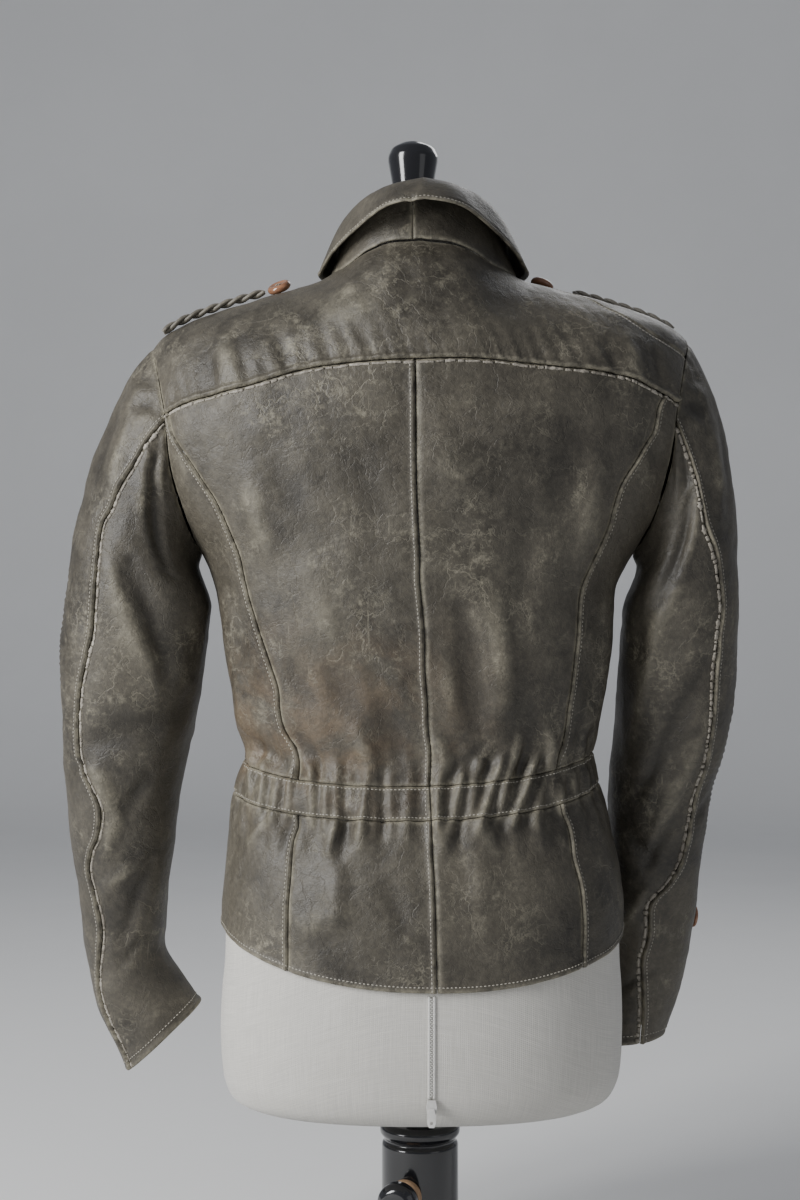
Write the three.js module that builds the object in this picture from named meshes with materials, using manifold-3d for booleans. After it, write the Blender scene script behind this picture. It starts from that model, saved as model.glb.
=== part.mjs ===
// A worn leather jacket, seen from behind, on a limbless linen dress form with a short stand.
// Millimetres, +Z up. The jacket's back faces -Y, and +X is the wearer's right.
// The origin lies on the floor under the stand's column.
import * as THREE from 'three';
import { mergeVertices } from 'three/addons/utils/BufferGeometryUtils.js';
import Module from 'manifold-3d';

const wasm = await Module();
wasm.setup();

// Leather and seams
const LEATHER = 2.0;              // thickness of one layer
const COLLAR_LEATHER = 2.6;       // two layers sewn together
const SEAM = 0.35;                // gap between neighbouring pieces
const ARMHOLE_GAP = [1.3, 2.6];   // from an armhole's edge to its sleeve, below and at the shoulder tip
const SHOULDER_GAP = 1.1;         // between the yoke's edge and the top of a front
const CLOSURE_LAP = 1.6;          // degrees by which each front passes the centre
const CLOSURE_LIFT = 3.6;         // lift of the upper front, over the lower one

// Torso of the jacket, as a rounded section at each height
const ROUND = 2.3;                // exponent of the section
const SHOULDER = 735;             // height where the back starts to turn over the shoulder
const CREST = 2.2;                // exponent of that turn
const TURN = 150;                 // length of the panel coordinate from SHOULDER to the ridge
const ARMPIT = 640;
const NECK_LEVEL = 870;
const RIDGE_TILT = 0.012;         // the wearer's right shoulder sits a little higher
const halfWidth = track([
  [290, 169], [346, 169.6], [372, 167], [406, 161.5], [430, 156], [448, 150], [462, 146], [472, 145],
  [482, 148], [500, 154], [527, 158.5], [560, 163.5], [590, 166], [612, 169], [640, 182], [678, 207],
  [707, 222], [735, 230],
]);
const middle = track([
  [290, 2], [372, 1.7], [406, 0], [445, -2.5], [478, -1.5], [496, -3], [527, -1.5], [612, -4],
  [640, -2], [735, 0],
]);
const backDepth = track([
  [290, 122], [346, 121], [372, 117], [406, 108], [430, 101], [448, 97], [462, 94], [472, 93],
  [482, 95], [500, 98], [527, 102], [560, 106], [590, 109], [612, 111], [640, 113], [678, 116],
  [735, 119], [800, 121], [900, 122],
]);
const frontDepth = track([
  [290, 106], [346, 106], [372, 104], [406, 100], [430, 97], [448, 95], [462, 93], [472, 93],
  [482, 95], [500, 99], [527, 105], [560, 112], [590, 118], [640, 124], [678, 124], [735, 118],
  [800, 112], [900, 106],
]);
const SLOPE = [
  [80, 871], [100, 864], [127, 857.5], [150, 851.5], [180, 842], [200, 834.5], [217, 825], [229, 812],
  [235, 800],
];
const backRidge = track([[0, 926], [25, 919], [45, 903], [62, 884], ...SLOPE]);
const frontRidge = track([[0, 890], [40, 884], [62, 877], ...SLOPE]);
const armholeHalf = track([
  [640, 182], [652, 188], [678, 197], [710, 205], [752, 210], [790, 219], [815, 227],
]);
const ARMHOLE_TOP = 227;

// Seam lines on the torso: height, angle from the centre back in degrees, + on the wearer's right
const centreSeam = track([
  [290, 2.3], [340, 2], [396, 1.9], [426, 2.2], [451, 2.4], [485, 2.3], [540, 1], [576, 1.1],
  [631, 0.2], [685, -0.4], [757, -0.7], [792, -1],
]);
const princessLeft = track([
  [290, -36.7], [340, -36.6], [406, -36.5], [418, -34.9], [430, -35.6], [457, -38.3], [479, -39.3],
  [492, -41.8], [511, -43.3], [530, -43.3], [551, -45.4], [584, -50], [607, -52.6], [644, -51],
  [678, -50.3], [695, -51.9], [715, -54.8], [730, -58.6], [745, -61.6], [752, -62.2],
]);
const princessRight = track([
  [290, 46.4], [360, 46.8], [392, 45.4], [415, 46.4], [432, 44], [461, 46.6], [489, 50.6], [519, 48.6],
  [600, 50.2], [628, 51.2], [656, 50.2], [675, 47.4], [693, 46.4], [717, 49.2], [738, 53.1],
  [752, 54.8], [762, 57.6],
]);
const SIDE_SEAM = 93;
const yokeHeight = track([
  [-212, 751], [-189, 760], [-166, 765], [-141, 770], [-120, 776], [-99, 782], [-47, 788.5],
  [7, 790.5], [48, 791], [80, 788.5], [113, 785.5], [146, 783], [172, 778], [190, 771], [209, 762],
]);
const shoulderSeamRight = track([
  [80, 884], [110, 872], [135, 857], [155, 840], [176, 828], [202, 818], [228, 816],
]);
const SHOULDER_SEAM_LEFT = 882;
const NECK = { x: 3, half: 80, back: 75, front: 80 };

// Gathers of the elastic waist, and the largest hanging folds
const GATHERS = 9;                // from the centre back to a side seam
const GATHER_RISE = 3.0;
const BAND_BULGE = 1.6;
const LONG_FOLDS = [
  { angle: -21, from: 330, to: 428, width: 3.2, rise: 4.0 },
  { angle: -14, from: 452, to: 560, width: 4.5, rise: 3.0 },
  { angle: 22, from: 452, to: 600, width: 5.0, rise: 3.0 },
  { angle: 13, from: 340, to: 428, width: 3.5, rise: 3.0 },
  { angle: -70, from: 480, to: 640, width: 7.0, rise: 3.5 },
  { angle: 72, from: 480, to: 640, width: 7.0, rise: 3.5 },
  { angle: -120, from: 470, to: 620, width: 6.0, rise: 3.0 },
  { angle: 122, from: 470, to: 620, width: 6.0, rise: 3.0 },
];

// Sleeves: outer edge x and z, inner edge x and z, half depth, forward shift
const SLEEVE_LEFT = [
  [-246, 788, -187, 634, 62, 0], [-262, 755, -188, 628, 62, 0], [-277, 721, -186, 621, 62, 0],
  [-286, 681, -182.5, 612, 62, 0], [-294, 645, -179, 602, 62, 0], [-300, 606, -177.5, 590, 61, 0],
  [-305, 568, -180.6, 566, 60, 4], [-305.6, 536, -185.2, 534, 58, 7], [-304.7, 487, -195.1, 486, 54, 12],
  [-303.7, 454, -202.4, 454, 51, 16], [-302, 420, -208.2, 420, 48, 21], [-298.8, 387, -212.3, 387, 45, 27],
  [-296, 358, -216.3, 358, 43, 31], [-291.5, 318, -220.5, 320, 40, 36], [-287.5, 285, -221, 297, 39, 40],
  [-279, 245, -209, 277, 39, 43], [-254, 191, -191, 250, 39, 46],
];
const SLEEVE_RIGHT = [
  [244, 784, 185, 634, 62, 0], [255.5, 751, 186, 628, 62, 0], [263, 713, 184, 620, 62, 1],
  [267, 676, 180, 611, 62, 3], [269.5, 640, 175.5, 600, 61, 7], [271.5, 598, 172.5, 584, 60, 12],
  [272, 555, 172, 553, 58, 20], [270.5, 513, 170.5, 513, 56, 30], [263.9, 467, 168, 467, 53, 42],
  [255.6, 434, 165.6, 434, 50, 50], [251.6, 402, 165.6, 402, 48, 58], [247.6, 368, 165.6, 368, 46, 66],
  [246, 333, 166, 333, 44, 73], [240.9, 295, 165, 295, 42, 80], [236, 268, 161, 268, 40, 84],
  [229, 240, 154.5, 237, 39, 88], [219, 213, 149, 206, 38, 90],
];
const ARMHOLE_FADE = [0.75, 0.5, 0.3, 0.12];
const FRONT_SLEEVE_SEAM = -105;   // degrees round the sleeve from its outer edge
const backSeamLeft = track([
  [0, 76], [1.8, 74], [3.4, 67], [4.1, 60], [5, 62], [6.7, 65], [7.5, 61], [8.6, 52.5], [9.1, 51],
  [9.7, 54.5], [10.2, 66], [10.8, 76.5], [11.5, 73], [12, 62], [12.6, 55.5], [13.5, 65], [14, 68],
  [14.7, 62], [15.4, 50], [17, 36],
]);
const backSeamRight = track([
  [0, 80], [2, 83], [3.6, 78], [4.6, 67], [5.4, 60], [6, 57], [6.6, 61], [7.5, 62.5], [8.5, 59.5],
  [9.2, 56], [10.2, 59], [11.7, 65], [12.3, 78], [12.9, 99], [13.6, 98], [14.3, 102], [15.3, 93],
  [17, 76],
]);

// Collar: angle round the neck, 0 at the centre back
const COLLAR_END = 175;
const standTop = track([[0, 934], [40, 923], [75, 899], [110, 884], [150, 870], [176, 866]]);
const STAND = { x: 2, half: 70, back: 64, front: 69 };
const fallRise = track([[0, 918], [20, 914], [40, 900], [60, 886], [80, 875], [100, 873]]);
const fallHalf = track([[0, 88], [80, 87], [110, 89], [140, 105], [160, 136], [176, 150]]);
const fallDepth = track([
  [0, 100], [20, 97], [40, 81], [60, 75], [80, 76], [110, 80], [140, 90], [160, 99], [176, 97],
]);
const FALL_CLEAR = [5, 18];       // above the shoulder and above the front

// Dress form: height, half width, back depth, front depth, middle
const FORM = [
  [178, 148, 92, 82, 0], [182, 157, 99, 88, 0], [190, 163, 106, 93, 0.5], [205, 167.5, 112, 98, 1],
  [240, 169.5, 117, 101, 1], [275, 168.5, 118, 102, 1.5], [300, 166.5, 118, 102, 1.8],
  [346, 165.5, 117, 102, 2], [372, 162.5, 113, 100, 1.7], [406, 157, 104, 96, 0], [430, 151, 97, 93, -1.5],
  [448, 145, 93, 91, -2.5], [462, 141.5, 90, 89, -2], [472, 140.5, 89, 89, -1.6], [482, 143, 91, 91, -2],
  [500, 148.5, 94, 95, -3], [527, 153.5, 98, 100, -1.5], [560, 158, 102, 107, -2], [600, 161, 105, 114, -3],
  [640, 164, 108, 118, -2], [700, 170, 110, 115, -1], [750, 174, 109, 106, 0], [790, 173, 103, 92, 0],
  [815, 169, 93, 78, 0], [832, 163, 83, 66, 0], [843.8, 148, 74, 57, 0], [852.8, 126, 64, 48, 0],
  [857.6, 108, 59, 45, 0], [863, 87, 55, 44, -1], [869, 70, 53, 45, -2], [880, 58, 52, 46, -3.5],
  [900, 55, 50, 47, -4], [925, 53.5, 49, 48, -4],
];
const FORM_SIDES = 28;
const NECK_KNOB = { x: -6, z: 925.3 };

// Stand
const BASE_RADIUS = 155;
const BASE_TOP = 20;
const COLUMN_RADIUS = 32.5;
const COLUMN_TOP = 158;
const POLE_RADIUS = 12;
const BORE_RADIUS = 12.5;
const POLE_FOOT = 34;
const STAND_SIDES = 24;
const CLAMP = { z: 104, angle: 20, boss: 14, knob: 17 };

const MATERIALS = {
  leather: { color: 0x6b6558, roughness: 0.62, metalness: 0 },
  brown: { color: 0x8a5638, roughness: 0.4, metalness: 0 },
  linen: { color: 0xd5d2ca, roughness: 0.9, metalness: 0 },
  black: { color: 0x17171a, roughness: 0.22, metalness: 0 },
  wood: { color: 0xb98c62, roughness: 0.7, metalness: 0 },
  zip: { color: 0xe6e4de, roughness: 0.6, metalness: 0 },
  metal: { color: 0xbfc0c2, roughness: 0.35, metalness: 1 },
};

const jacketOnForm = new THREE.Group();

// Smooth line through hand-chosen points, level beyond its two ends
function track(points) {
  const slopes = points.map((point, i) => {
    const before = points[Math.max(0, i - 1)];
    const after = points[Math.min(points.length - 1, i + 1)];
    return (after[1] - before[1]) / (after[0] - before[0]);
  });
  return (t) => {
    const last = points.length - 1;
    if (t <= points[0][0]) return points[0][1];
    if (t >= points[last][0]) return points[last][1];
    let i = 0;
    while (t > points[i + 1][0]) i += 1;
    const width = points[i + 1][0] - points[i][0];
    const s = (t - points[i][0]) / width;
    const cubic = s * s * s;
    const square = s * s;
    return (2 * cubic - 3 * square + 1) * points[i][1] + (cubic - 2 * square + s) * width * slopes[i]
      + (3 * square - 2 * cubic) * points[i + 1][1] + (cubic - square) * width * slopes[i + 1];
  };
}

function mix(a, b, t) {
  return a + (b - a) * t;
}

function fade(from, to, t) {
  const s = Math.min(1, Math.max(0, (t - from) / (to - from)));
  return s * s * (3 - 2 * s);
}

function radians(degrees) {
  return degrees * Math.PI / 180;
}

// Section angle of a point at x, in degrees from the centre back
function angleOf(x, z) {
  const share = Math.min(1, Math.abs(x - middle(z)) / halfWidth(z));
  return Math.sign(x - middle(z)) * Math.asin(share ** (ROUND / 2)) * 180 / Math.PI;
}

function ridgeHeight(x, isFront) {
  const ridge = isFront ? frontRidge : backRidge;
  return ridge(Math.abs(x)) + RIDGE_TILT * x;
}

// Point of the torso at a section angle and a height; past SHOULDER the height turns over the ridge
function torsoPoint(angle, height) {
  let isFront = Math.cos(radians(angle)) < 0;
  let h = height;
  if (h > SHOULDER + TURN) {
    isFront = !isFront;
    h = 2 * (SHOULDER + TURN) - h;
  }
  const sine = Math.sin(radians(angle));
  const cosine = Math.abs(Math.cos(radians(angle)));
  const level = Math.min(h, SHOULDER);
  const x = middle(level) + halfWidth(level) * Math.sign(sine) * Math.abs(sine) ** (2 / ROUND);
  let z = h;
  let share = 1;
  if (h > SHOULDER) {
    const turn = Math.min(1, (h - SHOULDER) / TURN) * Math.PI / 2;
    z = SHOULDER + (ridgeHeight(x, isFront) - SHOULDER) * Math.sin(turn) ** (2 / CREST);
    share = Math.cos(turn) ** (2 / CREST);
  }
  const depth = (isFront ? frontDepth(z) : backDepth(z)) * cosine ** (2 / ROUND) * share;
  return new THREE.Vector3(x, isFront ? depth : -depth, z);
}

// Panel height of a torso point at x and a real height z
function panelHeight(x, z, isFront) {
  if (z <= SHOULDER) return z;
  const share = Math.min(1, (z - SHOULDER) / (ridgeHeight(x, isFront) - SHOULDER));
  return SHOULDER + TURN * Math.asin(share ** (CREST / 2)) / (Math.PI / 2);
}

// Share of the shoulder's depth at x that a depth y takes
function depthShare(x, y) {
  const widest = y > 0 ? frontDepth(NECK_LEVEL) : backDepth(NECK_LEVEL);
  const depth = widest * (1 - (Math.abs(x) / halfWidth(SHOULDER)) ** ROUND) ** (1 / ROUND);
  return Math.min(1, Math.abs(y) / depth);
}

// Panel height of a torso point at x and a depth y
function panelHeightAtDepth(x, y) {
  return SHOULDER + TURN * Math.acos(depthShare(x, y) ** (CREST / 2)) / (Math.PI / 2);
}

// Real height of the torso at x and a depth y
function seatHeight(x, y) {
  const share = depthShare(x, y);
  return SHOULDER + (ridgeHeight(x, y > 0) - SHOULDER) * (1 - share ** CREST) ** (1 / CREST);
}

function depthAt(x, z, isFront) {
  return Math.abs(torsoPoint(isFront ? 180 - angleOf(x, z) : angleOf(x, z), panelHeight(x, z, isFront)).y);
}

// Armhole edge: section angle from the centre back at a panel height
function armholeAngle(height) {
  if (height <= ARMPIT) return 90;
  if (height <= SHOULDER) return angleOf(middle(height) + armholeHalf(height), height);
  let x = 210;
  for (let i = 0; i < 6; i += 1) {
    const turn = Math.min(1, (height - SHOULDER) / TURN) * Math.PI / 2;
    x = armholeHalf(SHOULDER + (ridgeHeight(x, false) - SHOULDER) * Math.sin(turn) ** (2 / CREST));
  }
  return angleOf(x, SHOULDER);
}

function bandTop(angle) {
  const turn = radians(angle);
  return 464 - 7.5 * Math.cos(turn) - 5.5 * Math.cos(2 * turn) + 3.5 * Math.sin(turn);
}

function bandBottom(angle) {
  return bandTop(angle) - 27;
}

function hemHeight(angle) {
  const turn = radians(angle);
  return 313.7 - 10.5 * Math.cos(turn) - 12.2 * Math.cos(2 * turn) - 3.8 * Math.sin(turn);
}

// How far the leather stands off its section: gathers round the waist, and hanging folds
function relief(angle, height) {
  const top = bandTop(angle);
  const bottom = bandBottom(angle);
  const above = 1 - fade(0, 48, height - top);
  const below = 1 - fade(0, 44, bottom - height);
  const sides = 1 - fade(100, 130, Math.abs(angle));
  const gather = 0.5 - 0.5 * Math.cos(2 * Math.PI * GATHERS * (Math.abs(angle) + 2) / SIDE_SEAM);
  let rise = GATHER_RISE * gather * above * below * sides;
  if (height > bottom && height < top) {
    rise += BAND_BULGE * Math.sin(Math.PI * (height - bottom) / (top - bottom));
  }
  for (const fold of LONG_FOLDS) {
    const across = (angle - fold.angle) / fold.width;
    const along = fade(fold.from, fold.from + 25, height) * (1 - fade(fold.to - 60, fold.to, height));
    rise += fold.rise * Math.exp(-across * across) * along;
  }
  return rise;
}

// Outward direction of a surface, from two small steps on it
function outward(surface, a, b, stepA, stepB) {
  const alongA = surface(a + stepA, b).sub(surface(a - stepA, b));
  const alongB = surface(a, b + stepB).sub(surface(a, b - stepB));
  return alongA.cross(alongB).normalize();
}

function leatherPoint(angle, height, lift) {
  const direction = outward(torsoPoint, angle, height, 0.2, 0.5);
  return torsoPoint(angle, height).addScaledVector(direction, relief(angle, height) + lift);
}

// Closed mesh of a wall between two grids of points
function wallGeometry(outer, inner) {
  const rows = outer.length;
  const columns = outer[0].length;
  const points = [...outer.flat(), ...inner.flat()];
  const shift = rows * columns;
  const at = (layer, i, j) => layer * shift + i * columns + j;
  const faces = [];
  const quad = (a, b, c, d) => faces.push(a, b, c, a, c, d);
  for (let i = 0; i < rows - 1; i += 1) {
    for (let j = 0; j < columns - 1; j += 1) {
      quad(at(0, i, j), at(0, i, j + 1), at(0, i + 1, j + 1), at(0, i + 1, j));
      quad(at(1, i, j), at(1, i + 1, j), at(1, i + 1, j + 1), at(1, i, j + 1));
    }
  }
  for (let j = 0; j < columns - 1; j += 1) {
    quad(at(0, 0, j), at(1, 0, j), at(1, 0, j + 1), at(0, 0, j + 1));
    quad(at(0, rows - 1, j), at(0, rows - 1, j + 1), at(1, rows - 1, j + 1), at(1, rows - 1, j));
  }
  for (let i = 0; i < rows - 1; i += 1) {
    quad(at(0, i, 0), at(0, i + 1, 0), at(1, i + 1, 0), at(1, i, 0));
    const end = columns - 1;
    quad(at(0, i, end), at(1, i, end), at(1, i + 1, end), at(0, i + 1, end));
  }
  return closedGeometry(points, faces);
}

function closedGeometry(points, faces) {
  const geometry = new THREE.BufferGeometry();
  const values = points.flatMap((p) => [p.x, p.y, p.z]);
  geometry.setAttribute('position', new THREE.Float32BufferAttribute(values, 3));
  geometry.setIndex(signedVolume(points, faces) < 0 ? turnedRound(faces) : faces);
  geometry.computeVertexNormals();
  return geometry;
}

function signedVolume(points, faces) {
  let volume = 0;
  for (let i = 0; i < faces.length; i += 3) {
    const [a, b, c] = [points[faces[i]], points[faces[i + 1]], points[faces[i + 2]]];
    volume += a.dot(b.clone().cross(c)) / 6;
  }
  return volume;
}

function turnedRound(faces) {
  const turned = [];
  for (let i = 0; i < faces.length; i += 3) turned.push(faces[i], faces[i + 2], faces[i + 1]);
  return turned;
}

function addPiece(name, geometry, material, parent = jacketOnForm) {
  const mesh = new THREE.Mesh(geometry, new THREE.MeshStandardMaterial(MATERIALS[material]));
  mesh.name = name;
  parent.add(mesh);
  return mesh;
}

// Grid of panel coordinates mapped to a leather wall
function panel(name, rows, columns, place, lift = () => 0) {
  const outer = [];
  const inner = [];
  for (let i = 0; i <= rows; i += 1) {
    outer.push([]);
    inner.push([]);
    for (let j = 0; j <= columns; j += 1) {
      const [angle, height] = place(j / columns, i / rows);
      outer[i].push(leatherPoint(angle, height, lift(angle, height)));
      inner[i].push(leatherPoint(angle, height, lift(angle, height) - LEATHER));
    }
  }
  return addPiece(name, wallGeometry(outer, inner), 'leather');
}

// Panel between two seam lines and two level lines, each inset by half a seam
function seamedPanel(name, rows, columns, left, right, bottom, top, crossing) {
  const gap = SEAM / 2;
  panel(name, rows, columns, (u, v) => {
    let angle = mix(left(500), right(500), u);
    let height = 500;
    for (let i = 0; i < 4; i += 1) {
      const low = bottom(angle) + gap;
      const high = top(angle) - gap;
      height = crossing
        ? (v < crossing ? mix(low, ARMPIT, v / crossing) : mix(ARMPIT, high, (v - crossing) / (1 - crossing)))
        : mix(low, high, v);
      const inset = gap * 180 / Math.PI / 120;
      angle = mix(left(height) + inset, right(height) - inset, u);
    }
    return [angle, height];
  });
}

function yokeLine(angle) {
  const x = torsoPoint(angle, 780).x;
  return panelHeight(x, yokeHeight(x), false);
}

function buildBackPanels() {
  seamedPanel('back_centre_left', 12, 14, princessLeft, centreSeam, bandTop, yokeLine, 7 / 12);
  seamedPanel('back_centre_right', 12, 16, centreSeam, princessRight, bandTop, yokeLine, 7 / 12);
  const outerLeft = (h) => (h < ARMPIT ? -SIDE_SEAM : -armholeAngle(h));
  const outerRight = (h) => (h < ARMPIT ? SIDE_SEAM : armholeAngle(h));
  seamedPanel('back_side_left', 12, 12, outerLeft, princessLeft, bandTop, yokeLine, 7 / 12);
  seamedPanel('back_side_right', 12, 10, princessRight, outerRight, bandTop, yokeLine, 7 / 12);
}

function buildSkirt() {
  seamedPanel('skirt_centre_left', 4, 14, princessLeft, centreSeam, hemHeight, bandBottom);
  seamedPanel('skirt_centre_right', 4, 16, centreSeam, princessRight, hemHeight, bandBottom);
  seamedPanel('skirt_side_left', 4, 12, () => -SIDE_SEAM, princessLeft, hemHeight, bandBottom);
  seamedPanel('skirt_side_right', 4, 10, princessRight, () => SIDE_SEAM, hemHeight, bandBottom);
}

function buildBackBand() {
  seamedPanel('waistband_back_left', 2, 26, () => -SIDE_SEAM, centreSeam, bandBottom, bandTop);
  seamedPanel('waistband_back_right', 2, 26, centreSeam, () => SIDE_SEAM, bandBottom, bandTop);
}

function shoulderSeam(x) {
  return x > 0 ? shoulderSeamRight(x) : SHOULDER_SEAM_LEFT;
}

function neckPlan(theta) {
  const depth = Math.cos(theta) > 0 ? NECK.back : NECK.front;
  return [NECK.x + NECK.half * Math.sin(theta), -depth * Math.cos(theta)];
}

function neckPanelHeight(x) {
  const share = Math.max(-1, Math.min(1, (x - NECK.x) / NECK.half));
  return panelHeightAtDepth(x, neckPlan(Math.asin(share))[1]);
}

// Real x of the armhole edge at a panel height
function armholeX(height) {
  return torsoPoint(armholeAngle(height), Math.min(height, SHOULDER + TURN)).x;
}

// Back yoke: from the yoke seam up to the neck and over to the shoulder seams
function buildYoke() {
  const columns = 28;
  const gap = SEAM / 2;
  panel('yoke', 8, columns, (u, v) => {
    const side = mix(-1, 1, u);
    let x = side * 215;
    let height = SHOULDER;
    for (let i = 0; i < 6; i += 1) {
      const low = panelHeight(x, yokeHeight(x), false) + gap;
      const onNeck = Math.abs(x - NECK.x) < NECK.half;
      const high = onNeck ? neckPanelHeight(x) : shoulderSeam(x);
      height = mix(low, Math.min(high, SHOULDER + TURN - 1) - gap, v);
      x = side * (armholeX(height) - gap);
    }
    return [angleOf(x, SHOULDER), height];
  });
}

// Top edge of a front: out along the shoulder seam, then down round the neck
function frontTop(side, u) {
  if (u > 0.5) {
    const [x, y] = neckPlan(radians(side * mix(90, 180, (u - 0.5) * 2)));
    return [x, panelHeightAtDepth(x, Math.max(y, 0.5))];
  }
  let x = side * ARMHOLE_TOP;
  for (let i = 0; i < 6; i += 1) {
    x = side * mix(armholeX(shoulderSeam(x)) - 0.5, NECK.half + side * NECK.x, u * 2);
  }
  return [x, 2 * (SHOULDER + TURN) - shoulderSeam(x)];
}

function closureLift(angle) {
  return CLOSURE_LIFT * fade(170, 177, Math.abs(angle));
}

function frontEdge(height) {
  if (height < ARMPIT) return SIDE_SEAM;
  return 180 - armholeAngle(height > SHOULDER + TURN ? 2 * (SHOULDER + TURN) - height : height);
}

// Front: from the waistband to the shoulder seam and the neck, with the closure's lap
function buildFront(name, side, rise) {
  const gap = SEAM / 2;
  const inset = gap * 180 / Math.PI / 120;
  const crossing = 7 / 17;
  const end = 180 + CLOSURE_LAP;
  panel(name, 17, 12, (u, v) => {
    const [topX, topHeight] = frontTop(side, u);
    const low = bandTop(side * mix(SIDE_SEAM, 180, u)) + gap;
    const height = v < crossing
      ? mix(low, ARMPIT, v / crossing)
      : mix(ARMPIT, topHeight - SHOULDER_GAP, 1 - (1 - (v - crossing) / (1 - crossing)) ** 1.2);
    const topEdge = frontEdge(topHeight);
    const topAngle = 180 - Math.abs(angleOf(topX, SHOULDER)) + CLOSURE_LAP * fade(0.5, 1, u);
    const topShare = Math.max(0, Math.min(1, (topAngle - topEdge) / (end - topEdge)));
    const share = mix(u, topShare, fade(0.35, 1, v));
    return [side * mix(frontEdge(height) + inset, end, share), height];
  }, (angle) => (rise ? closureLift(angle) : 0));
}

function buildFrontLower() {
  for (const [label, side, rise] of [['left', -1, 1], ['right', 1, 0]]) {
    const end = side * (180 + CLOSURE_LAP);
    const start = side * SIDE_SEAM;
    const low = side < 0 ? end : start;
    const high = side < 0 ? start : end;
    const lift = (angle) => rise * closureLift(angle);
    const gap = SEAM / 2;
    const inset = gap * 180 / Math.PI / 120;
    for (const [name, rows, bottom, top] of [
      ['waistband_front', 2, bandBottom, bandTop], ['skirt_front', 4, hemHeight, bandBottom]]) {
      panel(`${name}_${label}`, rows, 12, (u, v) => {
        const angle = mix(low + inset, high - inset, u);
        return [angle, mix(bottom(angle) + gap, top(angle) - gap, v)];
      }, lift);
    }
  }
}

// Armhole edge as a closed line, 0 at the shoulder tip and positive towards the back
function armholePoint(side, theta) {
  const top = ridgeHeight(side * ARMHOLE_TOP, false);
  const z = (top + ARMPIT) / 2 + (top - ARMPIT) / 2 * Math.cos(theta);
  const x = middle(z) + side * armholeHalf(z);
  const isFront = theta < 0;
  const depth = depthAt(x, z, isFront);
  const gap = mix(ARMHOLE_GAP[0], ARMHOLE_GAP[1], fade(750, 800, z));
  return new THREE.Vector3(x + side * gap, isFront ? depth : -depth, z);
}

function sleevePoint(side, stations, theta, station) {
  const top = ridgeHeight(side * ARMHOLE_TOP, false);
  const first = [side * (ARMHOLE_TOP + ARMHOLE_GAP[1]), top, side * 184, ARMPIT, 62, 0];
  const all = [first, ...stations];
  const index = Math.min(all.length - 2, Math.max(0, Math.floor(station)));
  const t = station - index;
  const row = all[index].map((value, k) => mix(value, all[index + 1][k], t));
  const ring = ringPoint(row, theta);
  const fadeBefore = index === 0 ? 1 : (ARMHOLE_FADE[index - 1] ?? 0);
  const fadeAfter = ARMHOLE_FADE[index] ?? 0;
  const share = mix(fadeBefore, fadeAfter, t);
  if (share > 0) {
    const offset = armholePoint(side, theta).sub(ringPoint(first, theta));
    ring.addScaledVector(offset, share);
  }
  return ring;
}

function ringPoint([outerX, outerZ, innerX, innerZ, depth, forward], theta) {
  const cosine = Math.cos(theta);
  const sine = Math.sin(theta);
  const along = Math.sign(cosine) * Math.abs(cosine) ** 0.93;
  const across = Math.sign(sine) * Math.abs(sine) ** 0.93;
  return new THREE.Vector3(
    (outerX + innerX) / 2 + (outerX - innerX) / 2 * along,
    forward - depth * across,
    (outerZ + innerZ) / 2 + (outerZ - innerZ) / 2 * along,
  );
}

function buildSleeve(name, side, stations, from, to, columns) {
  const rows = stations.length;
  const outer = [];
  const inner = [];
  const surface = (theta, station) => sleevePoint(side, stations, theta, station);
  const inset = radians(SEAM / 2 * 180 / Math.PI / 55);
  for (let i = 0; i <= rows; i += 1) {
    outer.push([]);
    inner.push([]);
    for (let j = 0; j <= columns; j += 1) {
      const theta = mix(radians(from(i)) + inset, radians(to(i)) - inset, j / columns);
      const station = Math.min(rows - 0.02, Math.max(0.02, i));
      const direction = outward(surface, theta, station, 0.01, 0.02).multiplyScalar(side);
      const point = surface(theta, i);
      outer[i].push(point);
      inner[i].push(point.clone().addScaledVector(direction, -LEATHER));
    }
  }
  return addPiece(name, wallGeometry(outer, inner), 'leather');
}

function buildSleeves() {
  for (const [label, side, stations, backSeam] of [
    ['left', -1, SLEEVE_LEFT, backSeamLeft], ['right', 1, SLEEVE_RIGHT, backSeamRight]]) {
    buildSleeve(`sleeve_${label}_upper`, side, stations, () => FRONT_SLEEVE_SEAM, backSeam, 8);
    buildSleeve(`sleeve_${label}_under`, side, stations, backSeam, () => 360 + FRONT_SLEEVE_SEAM, 8);
  }
}

function standLine(theta, share) {
  const [x, y] = neckPlan(theta);
  const depth = Math.cos(theta) > 0 ? STAND.back : STAND.front;
  const top = new THREE.Vector3(
    STAND.x + STAND.half * Math.sin(theta),
    -depth * Math.cos(theta),
    standTop(Math.abs(theta) * 180 / Math.PI),
  );
  const degrees = Math.abs(theta) * 180 / Math.PI;
  const lift = mix(1.2, 5.2, fade(60, 120, degrees)) + 3 * fade(145, 170, degrees);
  const foot = new THREE.Vector3(x * 0.985, y * 0.985, seatHeight(x, y) + lift);
  return foot.lerp(top, share);
}

function fallEdge(theta) {
  const degrees = Math.abs(theta) * 180 / Math.PI;
  const x = NECK.x + fallHalf(degrees) * Math.sin(theta);
  const y = -fallDepth(degrees) * Math.cos(theta);
  const resting = seatHeight(x, y) + mix(FALL_CLEAR[0], FALL_CLEAR[1], fade(95, 150, degrees));
  return new THREE.Vector3(x, y, mix(fallRise(degrees), resting, fade(60, 95, degrees)));
}

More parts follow.
